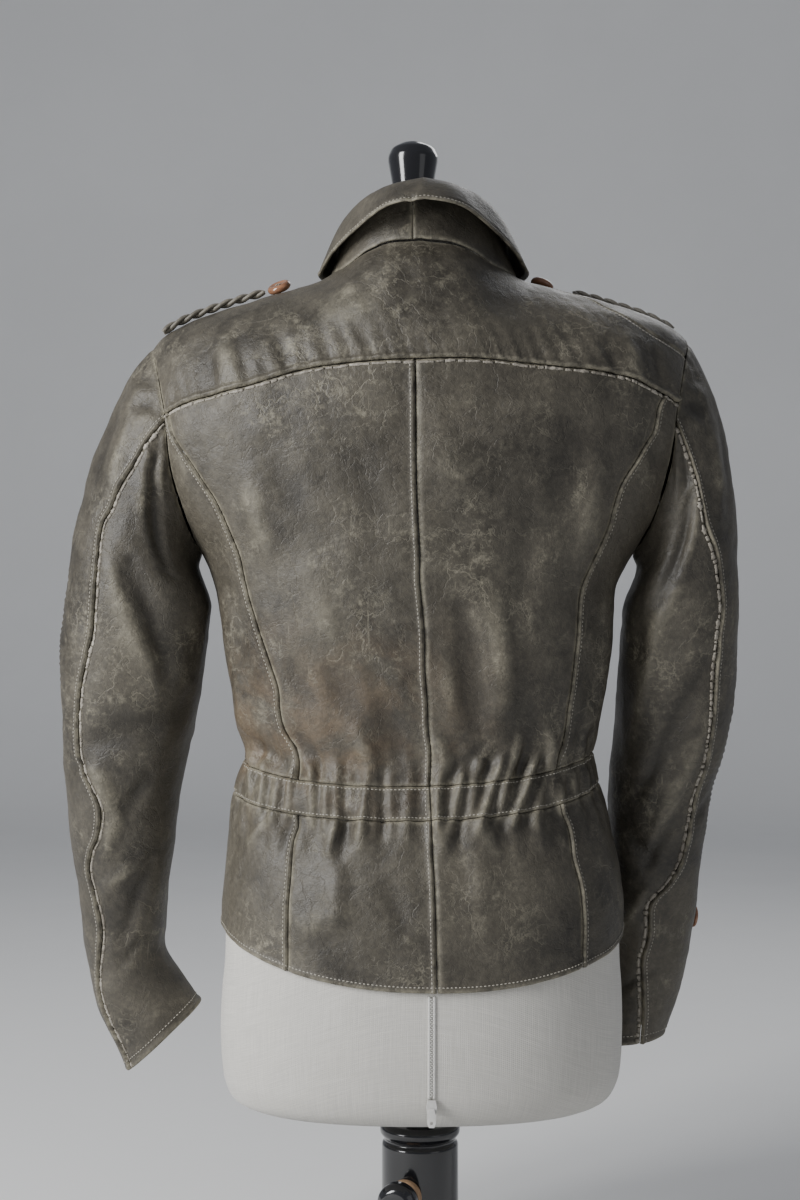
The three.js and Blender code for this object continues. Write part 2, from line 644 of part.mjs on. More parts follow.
// Fall of the collar: up from the stand, over the fold and down to its free edge
function fallPoint(theta, share) {
  const start = standLine(theta, 1);
  start.z += SEAM;
  const end = fallEdge(theta);
  const degrees = Math.abs(theta) * 180 / Math.PI;
  const lean = fade(70, 120, degrees);
  const up = start.clone();
  up.z += mix(14, 9, lean);
  const over = end.clone().lerp(start, 0.4);
  over.z = Math.max(end.z, mix(end.z, start.z, 0.4)) + mix(13, 9, lean);
  return new THREE.CubicBezierCurve3(start, up, over, end).getPoint(share);
}

function collarWall(name, rows, columns, from, to, surface, thickness) {
  const outer = [];
  const inner = [];
  for (let i = 0; i <= rows; i += 1) {
    outer.push([]);
    inner.push([]);
    for (let j = 0; j <= columns; j += 1) {
      const theta = radians(mix(from, to, j / columns));
      const share = i / rows;
      const direction = outward(surface, theta, Math.min(0.99, Math.max(0.01, share)), 0.01, 0.01);
      const point = surface(theta, share);
      outer[i].push(point);
      inner[i].push(point.clone().addScaledVector(direction, -thickness));
    }
  }
  return addPiece(name, wallGeometry(outer, inner), 'leather');
}

function buildCollar() {
  const centre = -7;
  collarWall('collar_stand_left', 2, 14, -COLLAR_END, centre - 0.15, standLine, LEATHER);
  collarWall('collar_stand_right', 2, 14, centre + 0.15, COLLAR_END, standLine, LEATHER);
  collarWall('collar_fall', 6, 30, -COLLAR_END, COLLAR_END, fallPoint, COLLAR_LEATHER);
}

// Braided lace along a shoulder, from the button to the armhole
function buildBraid(name, side, line, links) {
  const sides = 6;
  const rows = links * 4;
  const points = [];
  const faces = [];
  const curve = new THREE.CatmullRomCurve3(line);
  for (let i = 0; i <= rows; i += 1) {
    const t = i / rows;
    const centre = curve.getPoint(t);
    const tangent = curve.getTangent(t);
    const up = new THREE.Vector3(0, 0, 1).addScaledVector(tangent, -tangent.z).normalize();
    const flat = tangent.clone().cross(up);
    const swell = 0.86 + 0.14 * Math.cos(2 * Math.PI * links * t);
    for (let k = 0; k < sides; k += 1) {
      const turn = 2 * Math.PI * (k + 0.5) / sides;
      points.push(centre.clone()
        .addScaledVector(flat, 5.5 * swell * Math.cos(turn))
        .addScaledVector(up, 3.2 * swell * Math.sin(turn)));
    }
  }
  capTube(points, faces, rows, sides);
  return addPiece(name, closedGeometry(points, faces), 'leather');
}

function capTube(points, faces, rows, sides) {
  for (let i = 0; i < rows; i += 1) {
    for (let k = 0; k < sides; k += 1) {
      const next = (k + 1) % sides;
      const [a, b] = [i * sides + k, i * sides + next];
      faces.push(a, b, b + sides, a, b + sides, a + sides);
    }
  }
  for (let k = 1; k < sides - 1; k += 1) {
    faces.push(0, k + 1, k);
    faces.push(rows * sides, rows * sides + k, rows * sides + k + 1);
  }
}

function ridgeLine(side, from, to, back, lift) {
  const line = [];
  for (let i = 0; i <= 6; i += 1) {
    const x = side * mix(from, to, i / 6);
    const y = -back;
    line.push(new THREE.Vector3(x, y, seatHeight(x, y) + lift));
  }
  return line;
}

function buildBraids() {
  buildBraid('braid_left', -1, ridgeLine(-1, 131, 216, 14, 4.7), 7);
  buildBraid('braid_right', 1, ridgeLine(1, 131, 216, -14, 4.0), 7);
}

// Round button: a flat back, a rounded rim and a slightly dished face
function buttonGeometry(radius, height) {
  const profile = [[0, 0], [radius * 0.8, 0], [radius, height * 0.35], [radius, height * 0.65],
    [radius * 0.8, height], [radius * 0.5, height * 0.8], [0, height * 0.8]];
  return latheSolid(profile, 10);
}

function latheSolid(profile, sides) {
  const geometry = new THREE.LatheGeometry(profile.map(([r, z]) => new THREE.Vector2(r, z)), sides);
  geometry.rotateX(Math.PI / 2);
  geometry.deleteAttribute('normal');
  geometry.deleteAttribute('uv');
  return cleanSolid(mergeVertices(geometry, 1e-4));
}

// Solid with its flat, empty triangles taken out and its faces outward
function cleanSolid(geometry) {
  const position = geometry.getAttribute('position');
  const points = [];
  for (let i = 0; i < position.count; i += 1) {
    points.push(new THREE.Vector3().fromBufferAttribute(position, i));
  }
  const index = Array.from(geometry.index.array);
  const faces = [];
  for (let i = 0; i < index.length; i += 3) {
    const [a, b, c] = [index[i], index[i + 1], index[i + 2]];
    if (a !== b && b !== c && a !== c) faces.push(a, b, c);
  }
  return closedGeometry(points, faces);
}

function addButton(name, spot, normal, radius, height, material = 'brown') {
  const mesh = addPiece(name, buttonGeometry(radius, height), material);
  mesh.quaternion.setFromUnitVectors(new THREE.Vector3(0, 0, 1), normal);
  mesh.position.copy(spot);
  return mesh;
}

function buildButtons() {
  for (const [label, side, back, x, lift] of [
    ['left', -1, 12, 117.5, 2.6], ['right', 1, -8, 103, 1.7]]) {
    const spot = new THREE.Vector3(side * x, -back, seatHeight(side * x, -back) + lift);
    const lean = new THREE.Vector3(side * 0.42, side < 0 ? -0.45 : 0.2, 1).normalize();
    addButton(`shoulder_button_${label}`, spot, lean, 9.5, 6);
  }
  const heights = [790, 710, 630, 550, 450, 380];
  heights.forEach((height, i) => {
    const direction = outward(torsoPoint, 180, height, 0.2, 0.5);
    const lift = CLOSURE_LIFT + relief(180, height) + 0.5;
    const spot = torsoPoint(180, height).addScaledVector(direction, lift);
    addButton(`front_button_${i + 1}`, spot, direction, 9, 4.5);
  });
  const station = 13.4;
  for (const [label, side, stations, degrees] of [
    ['left', -1, SLEEVE_LEFT, -50], ['right', 1, SLEEVE_RIGHT, -12]]) {
    const surface = (theta, along) => sleevePoint(side, stations, theta, along);
    const theta = radians(degrees);
    const direction = outward(surface, theta, station, 0.01, 0.02).multiplyScalar(side);
    const spot = surface(theta, station).addScaledVector(direction, -0.1);
    addButton(`cuff_button_${label}`, spot, direction, 10, 4.5);
  }
}

// Dress form: a smooth closed torso, flat below, with a short neck
function buildForm() {
  const points = [];
  const faces = [];
  FORM.forEach(([z, half, back, front, x]) => {
    const exponent = mix(2.3, 2.0, fade(780, 840, z));
    for (let k = 0; k < FORM_SIDES; k += 1) {
      const turn = 2 * Math.PI * k / FORM_SIDES;
      const sine = Math.sin(turn);
      const cosine = Math.cos(turn);
      const depth = cosine > 0 ? back : front;
      points.push(new THREE.Vector3(
        x + half * Math.sign(sine) * Math.abs(sine) ** (2 / exponent),
        -depth * Math.sign(cosine) * Math.abs(cosine) ** (2 / exponent),
        z,
      ));
    }
  });
  const rows = FORM.length - 1;
  capTube(points, faces, rows, FORM_SIDES);
  addPiece('form_body', closedGeometry(points, faces), 'linen');
}

function buildNeckKnob() {
  const profile = [[0, 0], [40, 0], [42, 2.5], [38, 5], [14, 6], [14.5, 14], [17, 24], [19, 36], [21, 47],
    [21, 51], [18, 58], [10, 62.5], [0, 64]];
  const mesh = addPiece('neck_knob', latheSolid(profile, STAND_SIDES), 'black');
  mesh.position.set(NECK_KNOB.x, 0, NECK_KNOB.z);
}

function buildFormZip() {
  const x = 8;
  const strip = (z) => -formDepth(x, z) - 0.35;
  const rows = 9;
  const outer = [];
  const inner = [];
  for (let i = 0; i <= rows; i += 1) {
    const z = mix(206, 288, i / rows);
    outer.push([new THREE.Vector3(x - 3, strip(z) - 1.3, z), new THREE.Vector3(x, strip(z) - 1.6, z),
      new THREE.Vector3(x + 3, strip(z) - 1.3, z)]);
    inner.push([x - 3, x, x + 3].map((side) => new THREE.Vector3(side, strip(z) + 0.05, z)));
  }
  addPiece('form_zip', wallGeometry(outer, inner), 'zip');
  const slider = new THREE.Group();
  slider.position.set(x, strip(205) - 0.3, 199.5);
  jacketOnForm.add(slider);
  const body = extrudeOutline([[-3.6, -5], [3.6, -5], [4.4, 0], [3.2, 5.6], [-3.2, 5.6], [-4.4, 0]], 2.4);
  body.translate(0, -1.35, 0);
  addPiece('form_zip_slider', body, 'metal', slider);
  const blank = extrudeOutline([[-2, 0], [2, 0], [3.4, -5], [3.4, -12], [2, -15], [-2, -15], [-3.4, -12],
    [-3.4, -5]], 1.0);
  const drill = latheSolid([[0, -2], [1.4, -2], [1.4, 2], [0, 2]], 10);
  drill.rotateX(Math.PI / 2);
  drill.translate(0, 0, -11.4);
  const tab = geometryOf(solidOf(blank).subtract(solidOf(drill)));
  tab.translate(0, -3.6, -0.5);
  addPiece('form_zip_pull', tab, 'metal', slider);
}

function formDepth(x, z) {
  const at = (k) => track(FORM.map((row) => [row[0], row[k]]))(z);
  return at(2) * (1 - (Math.abs(x - at(4)) / at(1)) ** 2.3) ** (1 / 2.3);
}

// Flat piece with its outline in X and Z and its thickness along Y
function extrudeOutline(outline, thickness) {
  const shape = new THREE.Shape(outline.map(([x, z]) => new THREE.Vector2(x, z)));
  const geometry = new THREE.ExtrudeGeometry(shape, { depth: thickness, bevelEnabled: false });
  geometry.rotateX(Math.PI / 2);
  geometry.translate(0, thickness / 2, 0);
  geometry.deleteAttribute('normal');
  geometry.deleteAttribute('uv');
  return cleanSolid(mergeVertices(geometry, 1e-4));
}

function solidOf(geometry) {
  const mesh = new wasm.Mesh({
    numProp: 3,
    vertProperties: new Float32Array(geometry.getAttribute('position').array),
    triVerts: new Uint32Array(geometry.index.array),
  });
  return new wasm.Manifold(mesh);
}

function geometryOf(solid) {
  const mesh = solid.getMesh();
  const geometry = new THREE.BufferGeometry();
  geometry.setAttribute('position', new THREE.BufferAttribute(new Float32Array(mesh.vertProperties), 3));
  geometry.setIndex(new THREE.BufferAttribute(new Uint32Array(mesh.triVerts), 1));
  geometry.computeVertexNormals();
  return geometry;
}

function buildStand() {
  const base = [[0, 0], [BASE_RADIUS - 4, 0], [BASE_RADIUS, 4], [BASE_RADIUS, 11], [BASE_RADIUS - 6, 16],
    [70, BASE_TOP], [0, BASE_TOP]];
  addPiece('stand_base', latheSolid(base, 32), 'black');
  const foot = BASE_TOP + 0.3;
  const bead = COLUMN_TOP - 14;
  const column = [[0, foot], [48, foot], [48, foot + 5], [38, foot + 14], [COLUMN_RADIUS, foot + 24],
    [COLUMN_RADIUS, bead - 4], [COLUMN_RADIUS - 3, bead - 1], [COLUMN_RADIUS + 1.5, bead + 5],
    [COLUMN_RADIUS + 1.5, COLUMN_TOP - 4], [COLUMN_RADIUS - 2, COLUMN_TOP], [0, COLUMN_TOP]];
  const bore = [[0, POLE_FOOT - 4], [BORE_RADIUS, POLE_FOOT - 4], [BORE_RADIUS, COLUMN_TOP + 5],
    [0, COLUMN_TOP + 5]];
  const turned = solidOf(latheSolid(column, STAND_SIDES));
  addPiece('stand_column', geometryOf(turned.subtract(solidOf(latheSolid(bore, STAND_SIDES)))), 'black');
  const pole = [[0, POLE_FOOT], [POLE_RADIUS, POLE_FOOT], [POLE_RADIUS, 177.7], [0, 177.7]];
  addPiece('form_pole', latheSolid(pole, STAND_SIDES), 'black');
  const clamp = new THREE.Group();
  clamp.position.set(0, 0, CLAMP.z);
  clamp.rotation.z = radians(-CLAMP.angle);
  jacketOnForm.add(clamp);
  const start = COLUMN_RADIUS + 0.3;
  const screw = latheSolid([[0, start], [CLAMP.boss - 2, start], [CLAMP.boss, start + 2],
    [CLAMP.boss, start + 8], [9, start + 12], [0, start + 12]], 20);
  const knob = latheSolid([[0, start + 12.3], [9, start + 12.3], [CLAMP.knob, start + 17],
    [CLAMP.knob, start + 26], [12, start + 31], [0, start + 32]], 20);
  for (const [name, geometry, material] of [['clamp_boss', screw, 'wood'], ['clamp_knob', knob, 'black']]) {
    geometry.rotateX(Math.PI / 2);
    addPiece(name, geometry, material, clamp);
  }
}

buildBackPanels();
buildBackBand();
buildSkirt();
buildYoke();
buildFront('front_left', -1, true);
buildFront('front_right', 1, false);
buildFrontLower();
buildSleeves();
buildCollar();
buildBraids();
buildButtons();
buildForm();
buildNeckKnob();
buildFormZip();
buildStand();

export default jacketOnForm;
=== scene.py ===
"""A worn leather jacket, seen from behind, filled out on a limbless linen dress form.

Sizes of the leather are in millimetres, as in the part's source, and become metres
when a mesh is made. Every finished object stands in the part's own frame.
"""
import math

import bmesh
import bpy
import numpy as np
from bpy.props import FloatProperty, FloatVectorProperty, PointerProperty
from mathutils import Matrix, Vector


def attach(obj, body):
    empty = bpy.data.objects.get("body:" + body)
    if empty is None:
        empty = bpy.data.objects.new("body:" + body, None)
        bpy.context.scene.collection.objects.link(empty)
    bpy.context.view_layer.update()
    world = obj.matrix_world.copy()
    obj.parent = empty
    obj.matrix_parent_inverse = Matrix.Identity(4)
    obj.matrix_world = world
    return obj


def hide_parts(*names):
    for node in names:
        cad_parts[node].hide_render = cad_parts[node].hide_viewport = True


bl_info = {
    "name": "Worn leather jacket on a dress form",
    "version": (1, 0, 0),
    "blender": (4, 5, 0),
    "location": "3D View > Sidebar > Jacket",
    "description": "Dresses the packed parts of the jacket, its form and its stand",
    "category": "Object",
}

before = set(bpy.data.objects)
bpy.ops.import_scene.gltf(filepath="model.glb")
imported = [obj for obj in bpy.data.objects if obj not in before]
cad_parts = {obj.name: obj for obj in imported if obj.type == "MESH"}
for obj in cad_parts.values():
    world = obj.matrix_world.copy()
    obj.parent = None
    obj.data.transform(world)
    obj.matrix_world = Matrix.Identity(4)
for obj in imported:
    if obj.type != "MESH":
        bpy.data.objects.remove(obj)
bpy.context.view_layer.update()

MM = 0.001

# Leather and seams
LEATHER = 2.0
COLLAR_LEATHER = 2.6
SEAM = 0.35
MEAN_RADIUS = 120     # of the torso, to turn the width of a seam into degrees
SEAM_INSET = SEAM / 2 * 180 / math.pi / MEAN_RADIUS
SLEEVE_SEAM = 0.1
SLEEVE_RADIUS = 55
ARMHOLE_GAP = (0.5, 0.6)
SHOULDER_GAP = 1.1
CLOSURE_LAP = 1.6
CLOSURE_LIFT = 3.6
EDGE_STEPS = (0.0, 0.5, 1.1, 1.8, 2.6, 3.6, 4.8)   # grid lines near an edge, where a seam rolls
STITCH_PITCH = 3.3

# Torso of the jacket, as a rounded section at each height
ROUND = 2.3
SHOULDER = 735
CREST = 2.2
TURN = 150
ARMPIT = 640
MID_HEIGHT = 500
BACK_CROSSING = 7 / 12    # share of a panel's rows that lies below the armpit
FRONT_CROSSING = 7 / 17
NECK_LEVEL = 870
RIDGE_TILT = 0.012
ARMHOLE_TOP = 227
SIDE_SEAM = 93
SHOULDER_SEAM_LEFT = 882
NECK = {"x": 3, "half": 80, "back": 75, "front": 80}


def track(points):
    """Smooth line through given points, level beyond its two ends."""
    xs, ys = np.array(points, dtype=float).T
    slopes = np.empty_like(ys)
    slopes[1:-1] = (ys[2:] - ys[:-2]) / (xs[2:] - xs[:-2])
    slopes[0] = (ys[1] - ys[0]) / (xs[1] - xs[0])
    slopes[-1] = (ys[-1] - ys[-2]) / (xs[-1] - xs[-2])

    def value(t):
        t = np.clip(t, xs[0], xs[-1])
        i = np.clip(np.searchsorted(xs, t, side="right") - 1, 0, len(xs) - 2)
        width = xs[i + 1] - xs[i]
        s = (t - xs[i]) / width
        square, cubic = s * s, s * s * s
        return ((2 * cubic - 3 * square + 1) * ys[i] + (cubic - 2 * square + s) * width * slopes[i]
                + (3 * square - 2 * cubic) * ys[i + 1] + (cubic - square) * width * slopes[i + 1])
    return value


half_width = track([
    (290, 169), (346, 169.6), (372, 167), (406, 161.5), (430, 156), (448, 150), (462, 146), (472, 145),
    (482, 148), (500, 154), (527, 158.5), (560, 163.5), (590, 166), (612, 169), (640, 182), (678, 207),
    (707, 222), (735, 230)])
middle = track([
    (290, 2), (372, 1.7), (406, 0), (445, -2.5), (478, -1.5), (496, -3), (527, -1.5), (612, -4),
    (640, -2), (735, 0)])
back_depth = track([
    (290, 122), (346, 121), (372, 117), (406, 108), (430, 101), (448, 97), (462, 94), (472, 93),
    (482, 95), (500, 98), (527, 102), (560, 106), (590, 109), (612, 111), (640, 113), (678, 116),
    (735, 119), (800, 121), (900, 122)])
front_depth = track([
    (290, 106), (346, 106), (372, 104), (406, 100), (430, 97), (448, 95), (462, 93), (472, 93),
    (482, 95), (500, 99), (527, 105), (560, 112), (590, 118), (640, 124), (678, 124), (735, 118),
    (800, 112), (900, 106)])
SLOPE = [
    (80, 871), (100, 864), (127, 857.5), (150, 851.5), (180, 842), (200, 834.5), (217, 825),
    (229, 812), (235, 800)]
back_ridge = track([(0, 926), (25, 919), (45, 903), (62, 884), *SLOPE])
front_ridge = track([(0, 890), (40, 884), (62, 877), *SLOPE])
armhole_half = track([
    (640, 182), (652, 188), (678, 197), (710, 205), (752, 210), (790, 219), (815, 227)])

# Seam lines on the torso: height, angle from the centre back in degrees
centre_seam = track([
    (290, 2.3), (340, 2), (396, 1.9), (426, 2.2), (451, 2.4), (485, 2.3), (540, 1), (576, 1.1),
    (631, 0.2), (685, -0.4), (757, -0.7), (792, -1)])
princess_left = track([
    (290, -36.7), (340, -36.6), (406, -36.5), (418, -34.9), (430, -35.6), (457, -38.3), (479, -39.3),
    (492, -41.8), (511, -43.3), (530, -43.3), (551, -45.4), (584, -50), (607, -52.6), (644, -51),
    (678, -50.3), (695, -51.9), (715, -54.8), (730, -58.6), (745, -61.6), (752, -62.2)])
princess_right = track([
    (290, 46.4), (360, 46.8), (392, 45.4), (415, 46.4), (432, 44), (461, 46.6), (489, 50.6),
    (519, 48.6), (600, 50.2), (628, 51.2), (656, 50.2), (675, 47.4), (693, 46.4), (717, 49.2),
    (738, 53.1), (752, 54.8), (762, 57.6)])
yoke_height = track([
    (-212, 751), (-189, 760), (-166, 765), (-141, 770), (-120, 776), (-99, 782), (-47, 788.5),
    (7, 790.5), (48, 791), (80, 788.5), (113, 785.5), (146, 783), (172, 778), (190, 771), (209, 762)])
shoulder_seam_right = track([
    (80, 884), (110, 872), (135, 857), (155, 840), (176, 828), (202, 818), (228, 816)])

# Elastic waist: gathers of the solids, then the ones that show, as x, rise and lean at the band
GATHERS = 9
GATHER_RISE = 3.0
BAND_BULGE = 1.6
BAND_DEPTH = 27
BAND_GATHER = 1.12    # flat width of the gathered band for each mm that shows
BAND_RIDGES = [
    (-139, 1.2, 0.0), (-128, 1.6, 0.1), (-118, 1.2, 0.1), (-106, 1.7, 0.1), (-87, 1.6, 0.0),
    (-77, 1.2, 0.0), (-67, 1.0, 0.0), (-57, 0.8, 0.0), (-45, 1.2, 0.1), (-36, 1.0, 0.0),
    (-25, 1.1, 0.0), (-10, 1.0, 0.1), (13, 1.4, 0.1), (28, 2.4, 0.2), (41, 0.9, 0.2), (54, 2.2, 0.35),
    (66, 1.4, 0.3), (83, 2.3, 0.4), (98, 1.5, 0.2), (106, 1.0, 0.1), (115, 1.4, 0.1), (127, 1.2, 0.1),
    (137, 1.0, 0.0)]
BAND_RIDGE_WIDTH = 4.2
BAND_RIDGE_HEIGHT = 2.8
TROUGH_LIMIT = 3.4
FORM_INSET = 3.0      # the linen lies this much lower where the jacket covers it
LONG_FOLDS = [
    (-21, 330, 428, 3.2, 4.0), (-14, 452, 560, 4.5, 3.0), (22, 452, 600, 5.0, 3.0),
    (13, 340, 428, 3.5, 3.0), (-70, 480, 640, 7.0, 3.5), (72, 480, 640, 7.0, 3.5),
    (-120, 470, 620, 6.0, 3.0), (122, 470, 620, 6.0, 3.0)]

# Soft lumps of each part: rise, size and seed
TORSO_LUMPS = [(0.9, 74, 3), (0.55, 33, 5), (0.16, 12, 7)]
SLEEVE_LUMPS = [(0.9, 66, 11), (0.5, 30, 13), (0.16, 12, 17)]
COLLAR_LUMPS = [(0.35, 40, 21), (0.12, 13, 23)]

# Creases on the torso: x and z of both ends, width, rise (below 0 is a trough)
TORSO_CREASE_HEIGHT = 1.8
BACK_CREASES = [
    (-98, 489, -79, 461, 6, -2.2), (-106, 486, -88, 458, 5, 1.6), (-140, 486, -110, 466, 6, -2.0),
    (-150, 478, -120, 456, 5, 1.6), (-31, 512, -17, 484, 9, -2.6), (-52, 492, -38, 470, 8, 1.6),
    (-20, 480, -16, 468, 4, -1.4), (14, 486, 24, 458, 6, 2.2), (50, 484, 28, 460, 6, -2.4),
    (40, 476, 52, 462, 6, 1.8), (62, 480, 50, 460, 5, -2.0), (78, 488, 74, 462, 5, 2.4),
    (88, 486, 78, 462, 5, -2.2), (102, 500, 108, 466, 6, 1.8), (34, 590, 44, 500, 9, -2.6),
    (60, 600, 66, 520, 10, 1.8), (20, 560, 26, 500, 8, 1.4), (-70, 540, -44, 500, 9, -1.6),
    (-110, 560, -92, 520, 8, -1.6), (-88, 620, -70, 560, 12, 1.4), (84, 660, 76, 590, 11, -1.6),
    (-60, 720, -30, 660, 14, -1.2), (-120, 720, -96, 660, 12, -1.6), (-140, 700, -124, 640, 9, 1.6),
    (120, 730, 104, 660, 12, -1.6), (142, 700, 130, 640, 9, 1.6), (10, 740, 30, 690, 14, 1.2),
    (-58, 426, -66, 396, 5, -2.6), (-66, 428, -74, 400, 4, 1.8), (-48, 430, -50, 404, 5, 1.6),
    (-118, 428, -140, 402, 4, 1.4), (-100, 428, -112, 396, 5, -1.6), (-30, 430, -32, 414, 4, -1.2),
    (14, 430, 18, 402, 4, 1.8), (24, 430, 30, 406, 4, -1.6), (44, 428, 60, 400, 5, 1.8),
    (60, 430, 70, 408, 4, -1.6), (86, 432, 96, 410, 5, 1.6), (104, 436, 120, 410, 5, -1.6),
    (-90, 340, -60, 352, 10, 1.0), (30, 350, 70, 362, 10, -1.0), (-24, 372, -14, 340, 8, -1.2),
    (-176, 800, -170, 765, 7, -1.6), (-160, 812, -150, 772, 7, 1.4), (-120, 815, -104, 790, 9, -1.2),
    (-80, 840, -40, 826, 16, 1.2), (40, 850, 90, 830, 14, -1.2), (150, 806, 158, 785, 6, -1.4),
    (168, 812, 176, 782, 6, 1.4), (-10, 850, 30, 838, 14, -1.0), (190, 800, 196, 776, 5, -1.4)]
FRONT_CREASES = [
    (-70, 500, -40, 462, 6, -2.0), (60, 510, 40, 464, 6, -2.0), (90, 490, 84, 462, 5, 1.8),
    (-96, 492, -88, 462, 5, 1.8), (-110, 560, -70, 520, 9, -1.8), (112, 570, 80, 530, 9, -1.8),
    (-120, 680, -90, 620, 10, 1.8), (124, 680, 96, 620, 10, 1.8), (-60, 430, -66, 396, 5, -2.0),
    (66, 430, 74, 398, 5, -2.0), (110, 430, 120, 400, 5, 1.8), (-104, 430, -114, 400, 5, 1.8),
    (-90, 790, -60, 740, 14, -1.2), (96, 790, 66, 740, 14, -1.2)]

# Sleeves: outer edge x and z, inner edge x and z, half depth, forward shift
SLEEVE_LEFT = [
    (-246, 788, -187, 634, 62, 0), (-262, 755, -188, 628, 62, 0), (-277, 721, -186, 621, 62, 0),
    (-286, 681, -182.5, 612, 62, 0), (-294, 645, -179, 602, 62, 0), (-300, 606, -177.5, 590, 61, 0),
    (-305, 568, -180.6, 566, 60, 4), (-305.6, 536, -185.2, 534, 58, 7),
    (-304.7, 487, -195.1, 486, 54, 12), (-303.7, 454, -202.4, 454, 51, 16),
    (-302, 420, -208.2, 420, 48, 21), (-298.8, 387, -212.3, 387, 45, 27),
    (-296, 358, -216.3, 358, 43, 31), (-291.5, 318, -220.5, 320, 40, 36),
    (-287.5, 285, -221, 297, 39, 40), (-279, 245, -209, 277, 39, 43), (-254, 191, -191, 250, 39, 46)]
SLEEVE_RIGHT = [
    (244, 784, 185, 634, 62, 0), (255.5, 751, 186, 628, 62, 0), (263, 713, 184, 620, 62, 1),
    (267, 676, 180, 611, 62, 3), (269.5, 640, 175.5, 600, 61, 7), (271.5, 598, 172.5, 584, 60, 12),
    (272, 555, 172, 553, 58, 20), (270.5, 513, 170.5, 513, 56, 30), (263.9, 467, 168, 467, 53, 42),
    (255.6, 434, 165.6, 434, 50, 50), (251.6, 402, 165.6, 402, 48, 58),
    (247.6, 368, 165.6, 368, 46, 66), (246, 333, 166, 333, 44, 73), (240.9, 295, 165, 295, 42, 80),
    (236, 268, 161, 268, 40, 84), (229, 240, 154.5, 237, 39, 88), (219, 213, 149, 206, 38, 90)]
ARMHOLE_FADE = (0.75, 0.5, 0.3, 0.12)
FRONT_SLEEVE_SEAM = -105
back_seam_left = track([
    (0, 76), (1.8, 74), (3.4, 67), (4.1, 60), (5, 62), (6.7, 65), (7.5, 61), (8.6, 52.5), (9.1, 51),
    (9.7, 54.5), (10.2, 66), (10.8, 76.5), (11.5, 73), (12, 62), (12.6, 55.5), (13.5, 65), (14, 68),
    (14.7, 62), (15.4, 50), (17, 36)])
back_seam_right = track([
    (0, 80), (2, 83), (3.6, 78), (4.6, 67), (5.4, 60), (6, 57), (6.6, 61), (7.5, 62.5), (8.5, 59.5),
    (9.2, 56), (10.2, 59), (11.7, 65), (12.3, 78), (12.9, 99), (13.6, 98), (14.3, 102), (15.3, 93),
    (17, 76)])
STATION = 33          # mm from one station of a sleeve to the next
ROUND_STEP = 0.95     # mm round a sleeve for each degree

# Creases on the sleeves: degree and station of both ends, width in mm, rise
SLEEVE_CREASE_HEIGHT = 1.25
HEAD_PLEATS = [
    (74, 0.15, 58, 1.3, 4, 2.0), (66, 0.15, 48, 1.1, 4, -2.2), (58, 0.1, 38, 1.0, 4, 1.6),
    (50, 0.1, 28, 0.8, 4, -1.4), (84, 0.2, 92, 1.5, 5, -2.0), (94, 0.2, 104, 1.2, 5, 1.4),
    (-60, 0.2, -44, 1.2, 5, -1.6), (-50, 0.1, -34, 1.0, 5, 1.4)]
CREASES_LEFT = [
    *HEAD_PLEATS,
    (75, 5.2, 115, 8.1, 8, 3.4), (88, 4.6, 122, 7.8, 9, -3.6), (60, 9.2, 146, 8.6, 9, -3.8),
    (70, 9.9, 92, 11.0, 8, 2.6), (92, 11.0, 80, 12.0, 7, 2.2), (100, 10.8, 120, 10.1, 8, -2.6),
    (30, 10.0, 62, 9.6, 6, -2.2), (100, 1.4, 120, 4.4, 9, -3.0), (84, 1.2, 98, 3.4, 7, 2.4),
    (130, 12.4, 96, 14.2, 8, -2.2), (74, 13.2, 120, 12.2, 7, 1.8), (20, 1.4, 44, 3.6, 9, -1.8),
    (46, 1.0, 62, 3.0, 7, 1.6), (90, 15.0, 130, 14.2, 6, -1.6), (-40, 8.4, -80, 9.4, 9, -3.0),
    (-50, 9.6, -86, 10.4, 8, 2.4), (-70, 5.0, -100, 7.4, 9, -2.6), (200, 6.0, 236, 8.2, 9, -3.0),
    (200, 9.0, 240, 9.2, 8, 2.6), (210, 12.0, 236, 11.0, 8, -2.2), (-30, 12.0, -70, 13.4, 8, -2.0)]
CREASES_RIGHT = [
    *HEAD_PLEATS,
    (96, 2.2, 118, 5.6, 9, -3.2), (84, 2.0, 98, 4.8, 7, 2.4), (74, 7.2, 122, 10.0, 8, -3.0),
    (66, 8.4, 96, 11.0, 8, 2.6), (110, 5.4, 136, 8.4, 9, 2.6), (76, 10.4, 104, 11.8, 6, -2.4),
    (100, 11.8, 140, 10.8, 8, -2.4), (104, 12.6, 136, 13.6, 7, 2.0), (30, 10.2, 58, 10.8, 6, -1.8),
    (26, 1.4, 44, 4.2, 8, -1.6), (48, 1.4, 60, 3.8, 7, 1.6), (90, 14.8, 130, 15.4, 7, -1.8),
    (-40, 8.8, -84, 9.8, 9, -3.0), (-50, 10.0, -86, 10.8, 8, 2.4), (200, 6.2, 236, 8.4, 9, -3.0),
    (204, 9.2, 240, 9.4, 8, 2.6), (206, 12.0, 236, 11.0, 8, -2.2), (-30, 12.2, -70, 13.2, 8, -2.0)]

# Collar
COLLAR_END = 175
COLLAR_JOIN = -7
stand_top = track([(0, 934), (40, 923), (75, 899), (110, 884), (150, 870), (176, 866)])
STAND_PLAN = {"x": 2, "half": 70, "back": 64, "front": 69}
fall_rise = track([(0, 918), (20, 914), (40, 900), (60, 886), (80, 875), (100, 873)])
fall_half = track([(0, 88), (80, 87), (110, 89), (140, 105), (160, 136), (176, 150)])
fall_depth = track([
    (0, 100), (20, 97), (40, 81), (60, 75), (80, 76), (110, 80), (140, 90), (160, 99), (176, 97)])
FALL_CLEAR = (5, 18)

